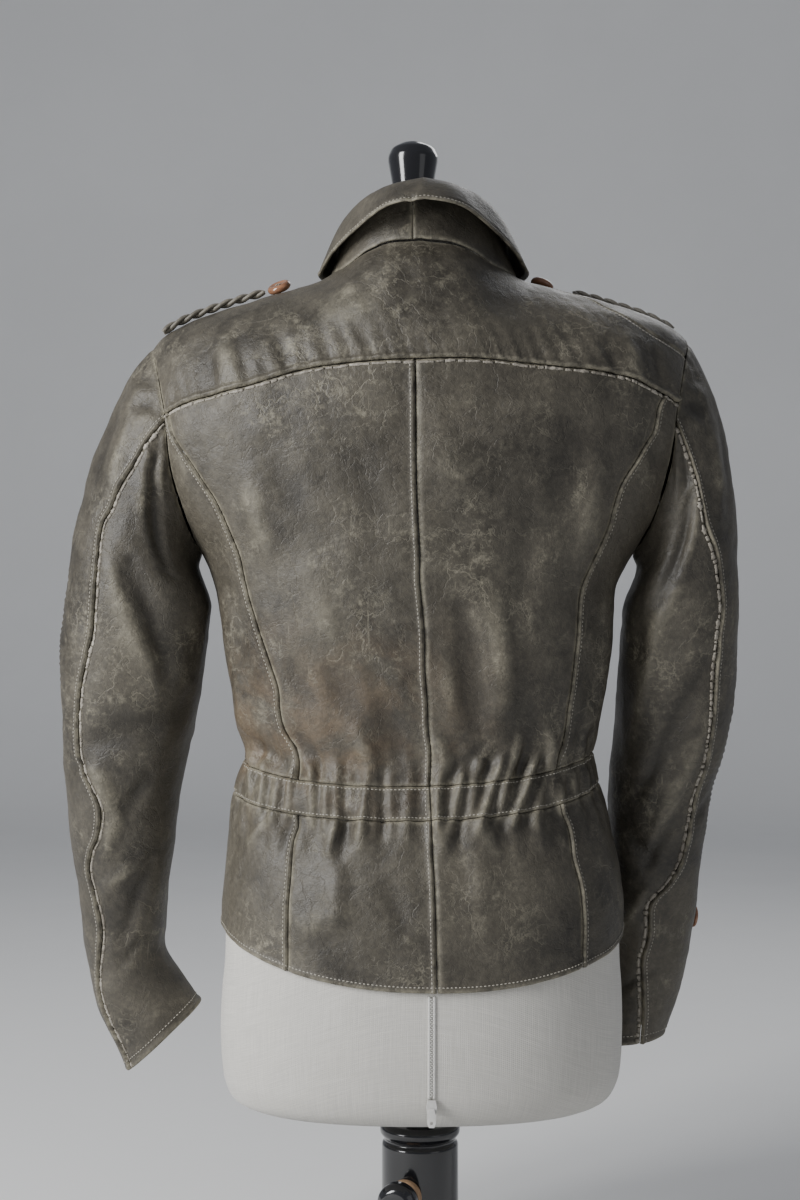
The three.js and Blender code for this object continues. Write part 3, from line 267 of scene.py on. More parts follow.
# Stitches: size of one, and how far each row lies from the edge that it follows
STITCH_SIZE = (1.3, 0.5, 0.42)
STITCH_ROWS = {"centre back": 3.6, "princess": 4.2, "band": 2.4, "hem": 4.4, "sleeve": 5.2, "cuff": 8,
               "collar": 4.0, "shoulder": 3.2, "closing": 4.4}
SHOULDER_ROW_FROM = 84

# Raw edges: radius of the roll, usual torn length and number of fibres
RAW_YOKE = (1.2, 12, 22)
RAW_SLEEVES = {"left": (1.35, 11, 90), "right": (1.7, 7, 190)}
FIBRE_REACH = 2.0

# Shoulder laces: reach in x, links, swing of a strand sideways and up, and its half width and height
LACE_REACH = (131, 216)
LACE_LINKS = 7
PLAIT_SWING = (2.7, 1.8)
STRAND = (2.8, 1.9)

# Buttons: radius and height
SHOULDER_BUTTON = (10.2, 7.0)
FRONT_BUTTON = (9, 4.5)
CUFF_BUTTON = (10, 4.5)
FRONT_BUTTON_HEIGHTS = (790, 710, 630, 550, 450, 380)
CUFF_BUTTON_STATION = 13.4
CUFF_BUTTON_TURN = {"left": -50, "right": -12}

# Zip at the centre back of the dress form
ZIP_X = 8.0
ZIP_FOOT = 206
ZIP_TOP = 288
COIL_PITCH = 1.5

# Dress form: height, half width, back depth, front depth, middle
FORM = [
    (178, 148, 92, 82, 0), (182, 157, 99, 88, 0), (190, 163, 106, 93, 0.5), (205, 167.5, 112, 98, 1),
    (240, 169.5, 117, 101, 1), (275, 168.5, 118, 102, 1.5), (300, 166.5, 118, 102, 1.8),
    (346, 165.5, 117, 102, 2), (372, 162.5, 113, 100, 1.7), (406, 157, 104, 96, 0),
    (430, 151, 97, 93, -1.5), (448, 145, 93, 91, -2.5), (462, 141.5, 90, 89, -2),
    (472, 140.5, 89, 89, -1.6), (482, 143, 91, 91, -2), (500, 148.5, 94, 95, -3),
    (527, 153.5, 98, 100, -1.5), (560, 158, 102, 107, -2), (600, 161, 105, 114, -3),
    (640, 164, 108, 118, -2), (700, 170, 110, 115, -1), (750, 174, 109, 106, 0), (790, 173, 103, 92, 0),
    (815, 169, 93, 78, 0), (832, 163, 83, 66, 0), (843.8, 148, 74, 57, 0), (852.8, 126, 64, 48, 0),
    (857.6, 108, 59, 45, 0), (863, 87, 55, 44, -1), (869, 70, 53, 45, -2), (880, 58, 52, 46, -3.5),
    (900, 55, 50, 47, -4), (925, 53.5, 49, 48, -4)]
NECK_KNOB = {"x": -6, "z": 925.3}

# Stand
BASE_RADIUS = 155
BASE_TOP = 20
COLUMN_RADIUS = 32.5
COLUMN_TOP = 158
POLE_RADIUS = 12
BORE_RADIUS = 12.5
POLE_FOOT = 34
POLE_TOP = 177.7
CLAMP = {"z": 104, "angle": 20, "boss": 14, "knob": 17}
LATHE_STEPS = 72
BUTTON_STEPS = 40
CLAMP_STEPS = 48

# Camera and stage, in metres
CAMERA_PLACE = (-0.017, -1.6, 0.6)
CAMERA_LENS = 56.5
FLOOR_HALF = 4.0
BACKDROP_FROM = 3.4
BACKDROP_BEND = 0.9
BACKDROP_HEIGHT = 3.2
LIGHTS = [   # name, place, aim and size; StageLook holds the power of each
    ("Key", (-1.9, -1.25, 1.45), (0, 0, 0.62), (0.8, 1.7)),
    ("Fill", (1.9, -1.9, 0.9), (0, 0, 0.55), (1.2, 1.6)),
    ("Rim", (0.7, 1.4, 1.9), (0, 0, 0.7), (1.0, 1.0))]

PIECES = {}


def mix(a, b, t):
    return a + (b - a) * t


def fade(start, end, t):
    """Smooth share from 0 at start to 1 at end."""
    s = np.clip((t - start) / (end - start), 0, 1)
    return s * s * (3 - 2 * s)


def signed_power(value, power):
    return np.sign(value) * np.abs(value) ** power


def unit(vectors):
    return vectors / np.maximum(np.linalg.norm(vectors, axis=-1, keepdims=True), 1e-9)


def angle_of(x, z):
    """Section angle of a point at x, in degrees from the centre back."""
    share = np.minimum(1, np.abs(x - middle(z)) / half_width(z))
    return np.sign(x - middle(z)) * np.degrees(np.arcsin(share ** (ROUND / 2)))


def ridge_height(x, is_front):
    return np.where(is_front, front_ridge(np.abs(x)), back_ridge(np.abs(x))) + RIDGE_TILT * x


def torso_point(angle, height):
    """Point of the torso; past SHOULDER the height turns over the shoulder's ridge."""
    angle, height = np.broadcast_arrays(np.asarray(angle, float), np.asarray(height, float))
    turn = np.radians(angle)
    past = height > SHOULDER + TURN
    is_front = np.where(past, np.cos(turn) >= 0, np.cos(turn) < 0)
    h = np.where(past, 2 * (SHOULDER + TURN) - height, height)
    level = np.minimum(h, SHOULDER)
    x = middle(level) + half_width(level) * signed_power(np.sin(turn), 2 / ROUND)
    over = np.clip((h - SHOULDER) / TURN, 0, 1) * np.pi / 2
    crown = SHOULDER + (ridge_height(x, is_front) - SHOULDER) * np.sin(over) ** (2 / CREST)
    z = np.where(h > SHOULDER, crown, h)
    depth = np.where(is_front, front_depth(z), back_depth(z)) * np.abs(np.cos(turn)) ** (2 / ROUND)
    depth = depth * np.abs(np.cos(over)) ** (2 / CREST)
    return np.stack([x, np.where(is_front, depth, -depth), z], -1)


def panel_height(x, z, is_front):
    """Panel height of a torso point at x and a real height z."""
    rise = np.clip((z - SHOULDER) / (ridge_height(x, is_front) - SHOULDER), 0, 1)
    return np.where(z <= SHOULDER, z, SHOULDER + TURN * np.arcsin(rise ** (CREST / 2)) / (np.pi / 2))


def depth_share(x, y):
    widest = np.where(y > 0, front_depth(NECK_LEVEL), back_depth(NECK_LEVEL))
    depth = widest * (1 - (np.abs(x) / half_width(SHOULDER)) ** ROUND) ** (1 / ROUND)
    return np.minimum(1, np.abs(y) / depth)


def panel_height_at_depth(x, y):
    return SHOULDER + TURN * np.arccos(depth_share(x, y) ** (CREST / 2)) / (np.pi / 2)


def seat_height(x, y):
    """Real height of the torso at x and a depth y."""
    share = depth_share(x, y)
    return SHOULDER + (ridge_height(x, y > 0) - SHOULDER) * (1 - share ** CREST) ** (1 / CREST)


def depth_at(x, z, is_front):
    angle = angle_of(x, z)
    angle = np.where(is_front, 180 - angle, angle)
    return np.abs(torso_point(angle, panel_height(x, z, is_front))[..., 1])


def armhole_angle(height):
    """Angle of the armhole's edge at each panel height."""
    height = np.asarray(height, float)
    level = np.minimum(height, SHOULDER)
    beside = angle_of(middle(level) + armhole_half(level), level)
    x = np.full(height.shape, 210.0)
    over = np.clip((height - SHOULDER) / TURN, 0, 1) * np.pi / 2
    for _ in range(6):
        crown = (ridge_height(x, False) - SHOULDER) * np.sin(over) ** (2 / CREST)
        x = armhole_half(SHOULDER + crown)
    above = angle_of(x, SHOULDER)
    return np.where(height <= ARMPIT, 90, np.where(height <= SHOULDER, beside, above))


def armhole_x(height):
    return torso_point(armhole_angle(height), np.minimum(height, SHOULDER + TURN))[..., 0]


def level_line(mean, at_back, at_sides, tilt):
    """Height of a line round the body: its mean, its dip at the back and sides, and its tilt."""
    def height(angle):
        turn = np.radians(angle)
        return mean - at_back * np.cos(turn) - at_sides * np.cos(2 * turn) + tilt * np.sin(turn)
    return height


band_top = level_line(464, 7.5, 5.5, 3.5)
hem_height = level_line(313.7, 10.5, 12.2, -3.8)


def band_bottom(angle):
    return band_top(angle) - BAND_DEPTH


def relief(angle, height):
    """How far the solids' leather stands off its section: gathers and the largest folds."""
    top, bottom = band_top(angle), band_bottom(angle)
    near = (1 - fade(0, 48, height - top)) * (1 - fade(0, 44, bottom - height))
    near = near * (1 - fade(100, 130, np.abs(angle)))
    gather = 0.5 - 0.5 * np.cos(2 * np.pi * GATHERS * (np.abs(angle) + 2) / SIDE_SEAM)
    rise = GATHER_RISE * gather * near
    in_band = np.clip((height - bottom) / (top - bottom), 0, 1)
    rise = rise + BAND_BULGE * np.sin(np.pi * in_band)
    for centre, start, end, width, height_of_fold in LONG_FOLDS:
        along = fade(start, start + 25, height) * (1 - fade(end - 60, end, height))
        rise = rise + height_of_fold * np.exp(-((angle - centre) / width) ** 2) * along
    return rise


def outward(surface, a, b, step_a, step_b):
    """Outward direction of a surface, from two small steps on it."""
    along_a = surface(a + step_a, b) - surface(a - step_a, b)
    along_b = surface(a, b + step_b) - surface(a, b - step_b)
    return unit(np.cross(along_a, along_b))


def leather_point(angle, height, lift):
    normal = outward(torso_point, angle, height, 0.2, 0.5)
    return torso_point(angle, height) + normal * (relief(angle, height) + lift)[..., None], normal


def lumps(points, size, seed):
    """Soft uneven swelling of about the given size in mm, from -1 to 1."""
    random = np.random.default_rng(seed)
    total = np.zeros(points.shape[:-1])
    for _ in range(7):
        direction = unit(random.normal(size=3)) * random.uniform(0.75, 1.35) * 2 * np.pi / size
        total += np.sin(points @ direction + random.uniform(0, 2 * np.pi))
    return total / 4.2


def uneven(points, layers):
    """Sum of several sizes of lumps."""
    return sum(rise * lumps(points, size, seed) for rise, size, seed in layers)


def crease_lines(a, b, creases, scale_a=1.0, scale_b=1.0):
    """Sum of soft troughs and ridges, each along a straight line between two points."""
    total = np.zeros(np.broadcast(a, b).shape)
    for a0, b0, a1, b1, width, rise in creases:
        dx, dy = (a1 - a0) * scale_a, (b1 - b0) * scale_b
        px, py = (a - a0) * scale_a, (b - b0) * scale_b
        t = np.clip((px * dx + py * dy) / (dx * dx + dy * dy), 0, 1)
        gap = np.hypot(px - t * dx, py - t * dy)
        ends = 0.45 + 0.55 * np.sin(np.pi * np.clip(t, 0.06, 0.94))
        total += rise * ends * np.exp(-(gap / width) ** 2)
    return total


def band_ridges(x, height, angle):
    """Ruches of the elastic band, which run a little way into the panels above and below."""
    centre = (band_top(angle) + band_bottom(angle)) / 2
    reach = (1 - fade(16, 36, height - centre)) * (1 - fade(16, 34, centre - height))
    total = np.zeros_like(x)
    for place, rise, lean in BAND_RIDGES:
        across = x - place - lean * (height - centre)
        total += rise * np.exp(-(across / BAND_RIDGE_WIDTH) ** 2)
    return BAND_RIDGE_HEIGHT * (total - 0.5) * reach


def seam_puckers(along, gap, pitch, reach, seed):
    """Small ridges square to a seam, which die away from it."""
    wander = 1.9 * np.sin(along / (2.3 * pitch) + seed) + 1.3 * np.sin(along / (5.1 * pitch) + 2 * seed)
    strength = 0.55 + 0.45 * np.sin(along / (7.7 * pitch) + 3 * seed)
    return strength * np.sin(2 * np.pi * along / pitch + wander) * np.exp(-(gap / reach) ** 2)


EDGE_SHAPES = {
    "plain": lambda gap: -0.9 * np.exp(-(gap / 0.9) ** 2),
    "rolled": lambda gap: 1.3 * np.exp(-((gap - 2.2) / 1.6) ** 2) - 1.1 * np.exp(-(gap / 0.8) ** 2),
    "thick": lambda gap: 2.1 * np.exp(-((gap - 2.4) / 1.9) ** 2) - 0.9 * np.exp(-(gap / 0.7) ** 2),
    "tucked": lambda gap: -1.1 * np.exp(-(gap / 2.4) ** 2),
    "hemmed": lambda gap: 0.8 * (1 - fade(3.4, 5.4, gap)) - 0.8 * np.exp(-(gap / 0.8) ** 2),
}


def arc_lengths(points):
    """Lengths across and along a grid of points."""
    across = np.zeros(points.shape[:2])
    along = np.zeros(points.shape[:2])
    across[:, 1:] = np.cumsum(np.linalg.norm(np.diff(points, axis=1), axis=2), axis=1)
    along[1:] = np.cumsum(np.linalg.norm(np.diff(points, axis=0), axis=2), axis=0)
    return across, along


def spacing(length, step):
    """Shares from 0 to 1 of a length, closer together near its two ends."""
    ends = np.array(EDGE_STEPS)
    count = max(2, round((length - 2 * ends[-1]) / step))
    inside = np.linspace(ends[-1], length - ends[-1], count + 1)[1:-1]
    return np.concatenate([ends, inside, (length - ends)[::-1]]) / length


def grid_mesh(name, points, maps):
    """Mesh of a grid laid through points in mm; maps are its UV lengths in mm."""
    rows, columns = points.shape[:2]
    facing = np.cross(points[1:, :-1] - points[:-1, :-1], points[:-1, 1:] - points[:-1, :-1])
    bm = bmesh.new()
    bmesh.ops.create_grid(bm, x_segments=columns - 1, y_segments=rows - 1, size=0.5)
    for face in bm.faces:
        face.smooth = True
    mesh = bpy.data.meshes.new(name)
    bm.to_mesh(mesh)
    bm.free()
    spots = np.empty(len(mesh.vertices) * 3)
    mesh.vertices.foreach_get("co", spots)
    spots = spots.reshape(-1, 3)
    column = np.rint((spots[:, 0] + 0.5) * (columns - 1)).astype(int)
    row = np.rint((spots[:, 1] + 0.5) * (rows - 1)).astype(int)
    mesh.vertices.foreach_set("co", (points[row, column] * MM).ravel())
    corners = np.empty(len(mesh.loops), dtype=np.int32)
    mesh.loops.foreach_get("vertex_index", corners)
    layer = mesh.uv_layers.new(name="UVMap")
    uv = np.stack([maps[0][row, column], maps[1][row, column]], -1) * MM
    layer.data.foreach_set("uv", uv[corners].ravel())
    mesh.update()
    return mesh, row, column, facing


def point_attribute(mesh, name, values):
    layer = mesh.attributes.new(name, "FLOAT", "POINT")
    layer.data.foreach_set("value", np.ascontiguousarray(values, dtype=np.float32))


def flip(mesh):
    bm = bmesh.new()
    bm.from_mesh(mesh)
    bmesh.ops.reverse_faces(bm, faces=bm.faces)
    bm.to_mesh(mesh)
    bm.free()


def mesh_from(bm, name, smooth=True):
    """Mesh of all that is in bm, with its faces turned outwards."""
    bmesh.ops.recalc_face_normals(bm, faces=bm.faces)
    for face in bm.faces:
        face.smooth = smooth
    mesh = bpy.data.meshes.new(name)
    bm.to_mesh(mesh)
    bm.free()
    return mesh


def finished(name, mesh, material, body, nodes=()):
    """Object of a finished mesh, on its body and in place of its solids."""
    piece = bpy.data.objects.new(name, mesh)
    bpy.context.scene.collection.objects.link(piece)
    mesh.materials.append(material)
    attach(piece, body)
    if nodes:
        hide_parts(*nodes)
    return piece


def thicken(piece, thickness):
    """Wall that grows inwards from the visible side."""
    wall = piece.modifiers.new("Thickness", "SOLIDIFY")
    wall.thickness = thickness * MM
    wall.offset = -1
    wall.use_rim = True


def leather_sheet(node, surface, edges, fine, step=2.5, thickness=LEATHER, ease=1.0):
    """One cut piece of leather: a fine grid on its solid's form, with its edges and creases."""
    coarse, _ = surface(*np.meshgrid(np.linspace(0, 1, 9), np.linspace(0, 1, 13)))
    across, along = arc_lengths(coarse)
    u, v = np.meshgrid(spacing(across[:, -1].mean(), step), spacing(along[-1].mean(), step))
    base, normals = surface(u, v)
    across, along = arc_lengths(base)
    gaps = {"left": across, "right": across[:, -1:] - across, "bottom": along, "top": along[-1:] - along}
    raised = fine(base, normals, u, v, gaps)
    rim = sum(EDGE_SHAPES[kind](gaps[edge]) for edge, kind in edges.items())
    points = base + normals * (raised + rim)[..., None]
    mesh, row, column, facing = grid_mesh("leather_" + node, points, (across, along))
    if (facing * normals[:-1, :-1]).sum() > 0:
        flip(mesh)
    nearest = np.minimum.reduce([gaps[edge] for edge in edges])
    # Height of the relief, for the leather's colour: rubbed pale on the ridges, painted shade in the
    # hollows.
    point_attribute(mesh, "wear", np.tanh(raised / 2.6)[row, column])
    point_attribute(mesh, "edge", np.exp(-(nearest / 2.6) ** 2)[row, column])
    piece = finished("leather_" + node, mesh, leather_material(), "form", (node,))
    thicken(piece, thickness)
    area = np.linalg.norm(np.cross(np.diff(points, axis=0)[:, :-1], np.diff(points, axis=1)[:-1]), axis=2)
    area = float(area.sum()) * MM * MM * ease
    PIECES[node] = {"points": points, "normals": normals, "across": across, "along": along}


def no_lift(angle, height):
    return 0.0 * angle


def torso_surface(place, lift=no_lift):
    def surface(u, v):
        angle, height = place(u, v)
        return leather_point(angle, height, lift(angle, height))
    return surface


def shallow(total):
    """The same relief with its troughs held clear of the form."""
    return np.where(total < 0, -TROUGH_LIMIT * np.tanh(-total / TROUGH_LIMIT), total)


def torso_creases(base, normals, u, v, gaps):
    """Creases, ruches and soft lumps of the body's leather."""
    x, y, z = np.moveaxis(base, -1, 0)
    back = fade(-0.1, -0.45, normals[..., 1])
    front = fade(0.1, 0.45, normals[..., 1])
    angle = np.degrees(np.arctan2(x, -y))
    total = crease_lines(x, z, BACK_CREASES) * back + crease_lines(x, z, FRONT_CREASES) * front
    ruches = band_ridges(x, z, angle) * (0.35 + 0.65 * np.maximum(back, front))
    return shallow(TORSO_CREASE_HEIGHT * total + ruches + uneven(base, TORSO_LUMPS))


def seamed_place(left, right, bottom, top, crossing=None):
    """Panel between two seam lines and two level lines, each inset by half a seam."""
    gap = SEAM / 2

    def place(u, v):
        angle = mix(left(MID_HEIGHT), right(MID_HEIGHT), u)
        height = np.full(u.shape, float(MID_HEIGHT))
        for _ in range(4):
            low, high = bottom(angle) + gap, top(angle) - gap
            if crossing:
                lower = mix(low, ARMPIT, v / crossing)
                upper = mix(ARMPIT, high, (v - crossing) / (1 - crossing))
                height = np.where(v < crossing, lower, upper)
            else:
                height = mix(low, high, v)
            angle = mix(left(height) + SEAM_INSET, right(height) - SEAM_INSET, u)
        return angle, height
    return place


def yoke_line(angle):
    x = torso_point(angle, 780)[..., 0]
    return panel_height(x, yoke_height(x), False)


def side_left(height):
    return np.where(np.asarray(height) < ARMPIT, -SIDE_SEAM, -armhole_angle(height))


def side_right(height):
    return np.where(np.asarray(height) < ARMPIT, SIDE_SEAM, armhole_angle(height))


PUCKERS = {"rolled": (0.42, 13), "tucked": (0.22, 7)}


def side_puckers(gaps, kinds):
    """Fine puckers beside the two upright seams of a panel, deeper where it is topstitched."""
    total = 0
    for edge, kind in kinds:
        depth, reach = PUCKERS.get(kind, (0, 1))
        total = total + depth * seam_puckers(gaps["bottom"], gaps[edge], 4.6, reach, 2 + reach)
    return total


def make_back_panels():
    """Two centre and two side panels, from the waistband up to the yoke seam."""
    rows = [
        ("back_centre_left", princess_left, centre_seam, "tucked", "rolled"),
        ("back_centre_right", centre_seam, princess_right, "tucked", "tucked"),
        ("back_side_left", side_left, princess_left, "plain", "rolled"),
        ("back_side_right", princess_right, side_right, "rolled", "plain")]
    for node, left, right, on_left, on_right in rows:
        surface = torso_surface(seamed_place(left, right, band_top, yoke_line, BACK_CROSSING))

        def fine(base, normals, u, v, gaps, kinds=(("left", on_left), ("right", on_right))):
            pucker = 0.45 * seam_puckers(gaps["left"], gaps["top"], 7.5, 12, 2.0)
            return torso_creases(base, normals, u, v, gaps) + pucker + side_puckers(gaps, kinds)
        leather_sheet(node, surface, {"left": on_left, "right": on_right, "top": "tucked",
                                      "bottom": "plain"}, fine)


def make_skirt():
    """Four back panels below the waistband."""
    rows = [
        ("skirt_centre_left", princess_left, centre_seam, "tucked", "rolled"),
        ("skirt_centre_right", centre_seam, princess_right, "tucked", "tucked"),
        ("skirt_side_left", side_left, princess_left, "plain", "rolled"),
        ("skirt_side_right", princess_right, side_right, "rolled", "plain")]
    for node, left, right, on_left, on_right in rows:
        surface = torso_surface(seamed_place(left, right, hem_height, band_bottom))
        leather_sheet(node, surface, {"left": on_left, "right": on_right, "top": "plain",
                                      "bottom": "hemmed"}, torso_creases)


def make_back_band():
    """Gathered back of the waistband, in two halves."""
    for node, left, right in [("waistband_back_left", side_left, centre_seam),
                              ("waistband_back_right", centre_seam, side_right)]:
        surface = torso_surface(seamed_place(left, right, band_bottom, band_top))
        leather_sheet(node, surface, {"left": "plain", "right": "plain", "top": "plain",
                                      "bottom": "plain"}, torso_creases, step=1.8,
                      ease=BAND_GATHER)


def neck_plan(turn):
    depth = np.where(np.cos(turn) > 0, NECK["back"], NECK["front"])
    return NECK["x"] + NECK["half"] * np.sin(turn), -depth * np.cos(turn)


def neck_panel_height(x):
    share = np.clip((x - NECK["x"]) / NECK["half"], -1, 1)
    return panel_height_at_depth(x, neck_plan(np.arcsin(share))[1])


def shoulder_seam(x):
    return np.where(x > 0, shoulder_seam_right(x), SHOULDER_SEAM_LEFT)


def yoke_place(u, v):
    """Angle and panel height on the yoke, between its seam, the shoulders and the neck."""
    gap = SEAM / 2
    side = mix(-1, 1, u)
    x = side * 215
    height = np.full(u.shape, float(SHOULDER))
    for _ in range(6):
        low = panel_height(x, yoke_height(x), False) + gap
        on_neck = np.abs(x - NECK["x"]) < NECK["half"]
        high = np.where(on_neck, neck_panel_height(x), shoulder_seam(x))
        height = mix(low, np.minimum(high, SHOULDER + TURN - 1) - gap, v)
        x = side * (armhole_x(height) - gap)
    return angle_of(x, SHOULDER), height


def make_yoke():
    """Yoke over the shoulders, puckered along its seam."""
    def fine(base, normals, u, v, gaps):
        x = base[..., 0]
        sides = 0.35 + 0.65 * fade(20, 90, np.abs(x - 10))
        pucker = 1.4 * sides * seam_puckers(gaps["left"], gaps["bottom"] - 4, 6.3, 12, 1.0)
        pleats = 0.8 * sides * seam_puckers(gaps["left"] + 40, gaps["bottom"], 15, 34, 4.0)
        return torso_creases(base, normals, u, v, gaps) + pucker + pleats
    leather_sheet("yoke", torso_surface(yoke_place), {
        "left": "plain", "right": "plain", "bottom": "thick", "top": "plain"}, fine)


def front_top(side, u):
    """Top edge of a front: out along the shoulder seam, then down round the neck."""
    on_neck = u > 0.5
    neck_x, neck_y = neck_plan(np.radians(side * mix(90, 180, (u - 0.5) * 2)))
    neck_height = panel_height_at_depth(neck_x, np.maximum(neck_y, 0.5))
    x = np.full(u.shape, side * float(ARMHOLE_TOP))
    for _ in range(6):
        x = side * mix(armhole_x(shoulder_seam(x)) - 0.5, NECK["half"] + side * NECK["x"], u * 2)
    height = 2 * (SHOULDER + TURN) - shoulder_seam(x)
    return np.where(on_neck, neck_x, x), np.where(on_neck, neck_height, height)


def front_edge(height):
    over = np.where(height > SHOULDER + TURN, 2 * (SHOULDER + TURN) - height, height)
    return np.where(height < ARMPIT, SIDE_SEAM, 180 - armhole_angle(over))


def closure_lift(angle, height):
    """The left front rises over the right one at the closing."""
    return CLOSURE_LIFT * fade(170, 177, np.abs(angle))


def front_place(side):
    """Places on a front, from the side seam and the armhole to the closing."""
    gap = SEAM / 2
    crossing = FRONT_CROSSING
    end = 180 + CLOSURE_LAP

    def place(u, v):
        top_x, top_height = front_top(side, u)
        low = band_top(side * mix(SIDE_SEAM, 180, u)) + gap
        rise = 1 - np.clip(1 - (v - crossing) / (1 - crossing), 0, 1) ** 1.2
        height = np.where(v < crossing, mix(low, ARMPIT, v / crossing),
                          mix(ARMPIT, top_height - SHOULDER_GAP, rise))
        top_edge = front_edge(top_height)
        top_angle = 180 - np.abs(angle_of(top_x, SHOULDER)) + CLOSURE_LAP * fade(0.5, 1, u)
        top_share = np.clip((top_angle - top_edge) / (end - top_edge), 0, 1)
        share = mix(u, top_share, fade(0.35, 1, v))
        return side * mix(front_edge(height) + SEAM_INSET, end, share), height
    return place


def make_fronts():
    """Both fronts, each with its stretch of waistband and of skirt."""
    gap = SEAM / 2
    for label, side, lift in [("left", -1, closure_lift), ("right", 1, no_lift)]:
        leather_sheet("front_" + label, torso_surface(front_place(side), lift), {
            "left": "plain", "right": "hemmed", "top": "plain", "bottom": "plain"},
            torso_creases, step=3.2)
        end, start = side * (180 + CLOSURE_LAP), side * SIDE_SEAM
        low, high = min(end, start), max(end, start)
        for piece, bottom, top, hem in [("waistband_front_", band_bottom, band_top, "plain"),
                                        ("skirt_front_", hem_height, band_bottom, "hemmed")]:
            def place(u, v, bottom=bottom, top=top):
                angle = mix(low + SEAM_INSET, high - SEAM_INSET, u)
                return angle, mix(bottom(angle) + gap, top(angle) - gap, v)
            leather_sheet(piece + label, torso_surface(place, lift), {
                "left": "plain", "right": "plain", "top": "plain", "bottom": hem},
                torso_creases, step=2.8)


def ring_point(row, turn):
    outer_x, outer_z, inner_x, inner_z, depth, forward = row
    along = signed_power(np.cos(turn), 0.93)
    across = signed_power(np.sin(turn), 0.93)
    return np.stack([(outer_x + inner_x) / 2 + (outer_x - inner_x) / 2 * along,
                     forward - depth * across,
                     (outer_z + inner_z) / 2 + (outer_z - inner_z) / 2 * along], -1)


def armhole_point(side, turn):
    """Armhole edge, 0 at the shoulder tip and positive towards the back."""
    top = ridge_height(side * ARMHOLE_TOP, False)
    z = (top + ARMPIT) / 2 + (top - ARMPIT) / 2 * np.cos(turn)
    x = middle(z) + side * armhole_half(z)
    is_front = turn < 0
    depth = depth_at(x, z, is_front)
    gap = mix(ARMHOLE_GAP[0], ARMHOLE_GAP[1], fade(750, 800, z))
    return np.stack([x + side * gap, np.where(is_front, depth, -depth), z], -1)


def sleeve_point(side, stations, turn, station):
    """Point of a sleeve: a smooth tube through its stations, drawn to the armhole at its head."""
    turn, station = np.broadcast_arrays(np.asarray(turn, float), np.asarray(station, float))
    top = float(ridge_height(side * ARMHOLE_TOP, False))
    first = (side * (ARMHOLE_TOP + ARMHOLE_GAP[1]), top, side * 184, ARMPIT, 62, 0)
    rows = np.array([first, *stations], dtype=float)
    slopes = np.gradient(rows, axis=0)
    index = np.clip(np.floor(station).astype(int), 0, len(rows) - 2)
    t = (station - index)[..., None]
    square, cubic = t * t, t * t * t
    row = ((2 * cubic - 3 * square + 1) * rows[index] + (cubic - 2 * square + t) * slopes[index]
           + (3 * square - 2 * cubic) * rows[index + 1] + (cubic - square) * slopes[index + 1])
    ring = ring_point(np.moveaxis(row, -1, 0), turn)
    shares = np.zeros(len(rows) + 1)
    shares[0] = 1
    shares[1:1 + len(ARMHOLE_FADE)] = ARMHOLE_FADE
    share = mix(shares[index], shares[index + 1], station - index)
    wrapped = np.where(turn > np.pi, turn - 2 * np.pi, turn)
    offset = armhole_point(side, wrapped) - ring_point(first, turn)
    return ring + offset * share[..., None]


def sleeve_surface(side, stations, start, end):
    """Surface of a sleeve piece between two seams, and the turn and station of its places."""
    inset = math.radians(SLEEVE_SEAM / 2 * 180 / math.pi / SLEEVE_RADIUS)
    last = len(stations)

    def at(turn, station):
        return sleeve_point(side, stations, turn, station)

    def coordinates(u, v):
        station = v * last
        turn = mix(np.radians(start(station)) + inset, np.radians(end(station)) - inset, u)
        return turn, station

    def surface(u, v):
        turn, station = coordinates(u, v)
        inside = np.clip(station, 0.02, last - 0.02)
        return at(turn, station), outward(at, turn, inside, 0.01, 0.02) * side
    return surface, coordinates


def sleeve_creases(base, degrees, station, creases, elbow):
    """Creases, the ruck at the elbow and the eased fullness of the sleeve head."""
    total = SLEEVE_CREASE_HEIGHT * crease_lines(degrees, station, creases, ROUND_STEP, STATION)
    along = station * STATION + 2.5 * np.sin(degrees / 17)
    ruck = np.sin(2 * np.pi * along / 5.2 + 1.6 * np.sin(along / 9)) * 0.55
    ruck = ruck * np.exp(-((station - elbow) / 1.7) ** 2) * np.exp(-((degrees - 20) / 55) ** 2)
    head = np.sin(2 * np.pi * degrees / 9.5 + 1.4 * np.sin(degrees / 11)) * 0.3
    head = head * np.exp(-(station / 1.1) ** 2)
    clear = 1 - 0.75 * np.exp(-(station / 0.5) ** 2)
    return (total + uneven(base, SLEEVE_LUMPS)) * clear + ruck + head


def front_seam(station):
    return 0 * station + FRONT_SLEEVE_SEAM


def front_seam_again(station):
    """The same seam, one full turn on."""
    return 0 * station + 360 + FRONT_SLEEVE_SEAM


def make_sleeves():
    """Upper and under piece of each sleeve."""
    for label, side, stations, back_seam, creases, elbow in [
            ("left", -1, SLEEVE_LEFT, back_seam_left, CREASES_LEFT, 6.8),
            ("right", 1, SLEEVE_RIGHT, back_seam_right, CREASES_RIGHT, 9.6)]:
        for part, start, end, on_left, on_right in [
                ("upper", front_seam, back_seam, "plain", "thick"),
                ("under", back_seam, front_seam_again, "tucked", "plain")]:
            surface, coordinates = sleeve_surface(side, stations, start, end)

            def fine(base, normals, u, v, gaps, coordinates=coordinates):
                turn, station = coordinates(u, v)
                return sleeve_creases(base, np.degrees(turn), station, creases, elbow)
            leather_sheet(f"sleeve_{label}_{part}", surface, {
                "left": on_left, "right": on_right, "bottom": "tucked", "top": "hemmed"}, fine)


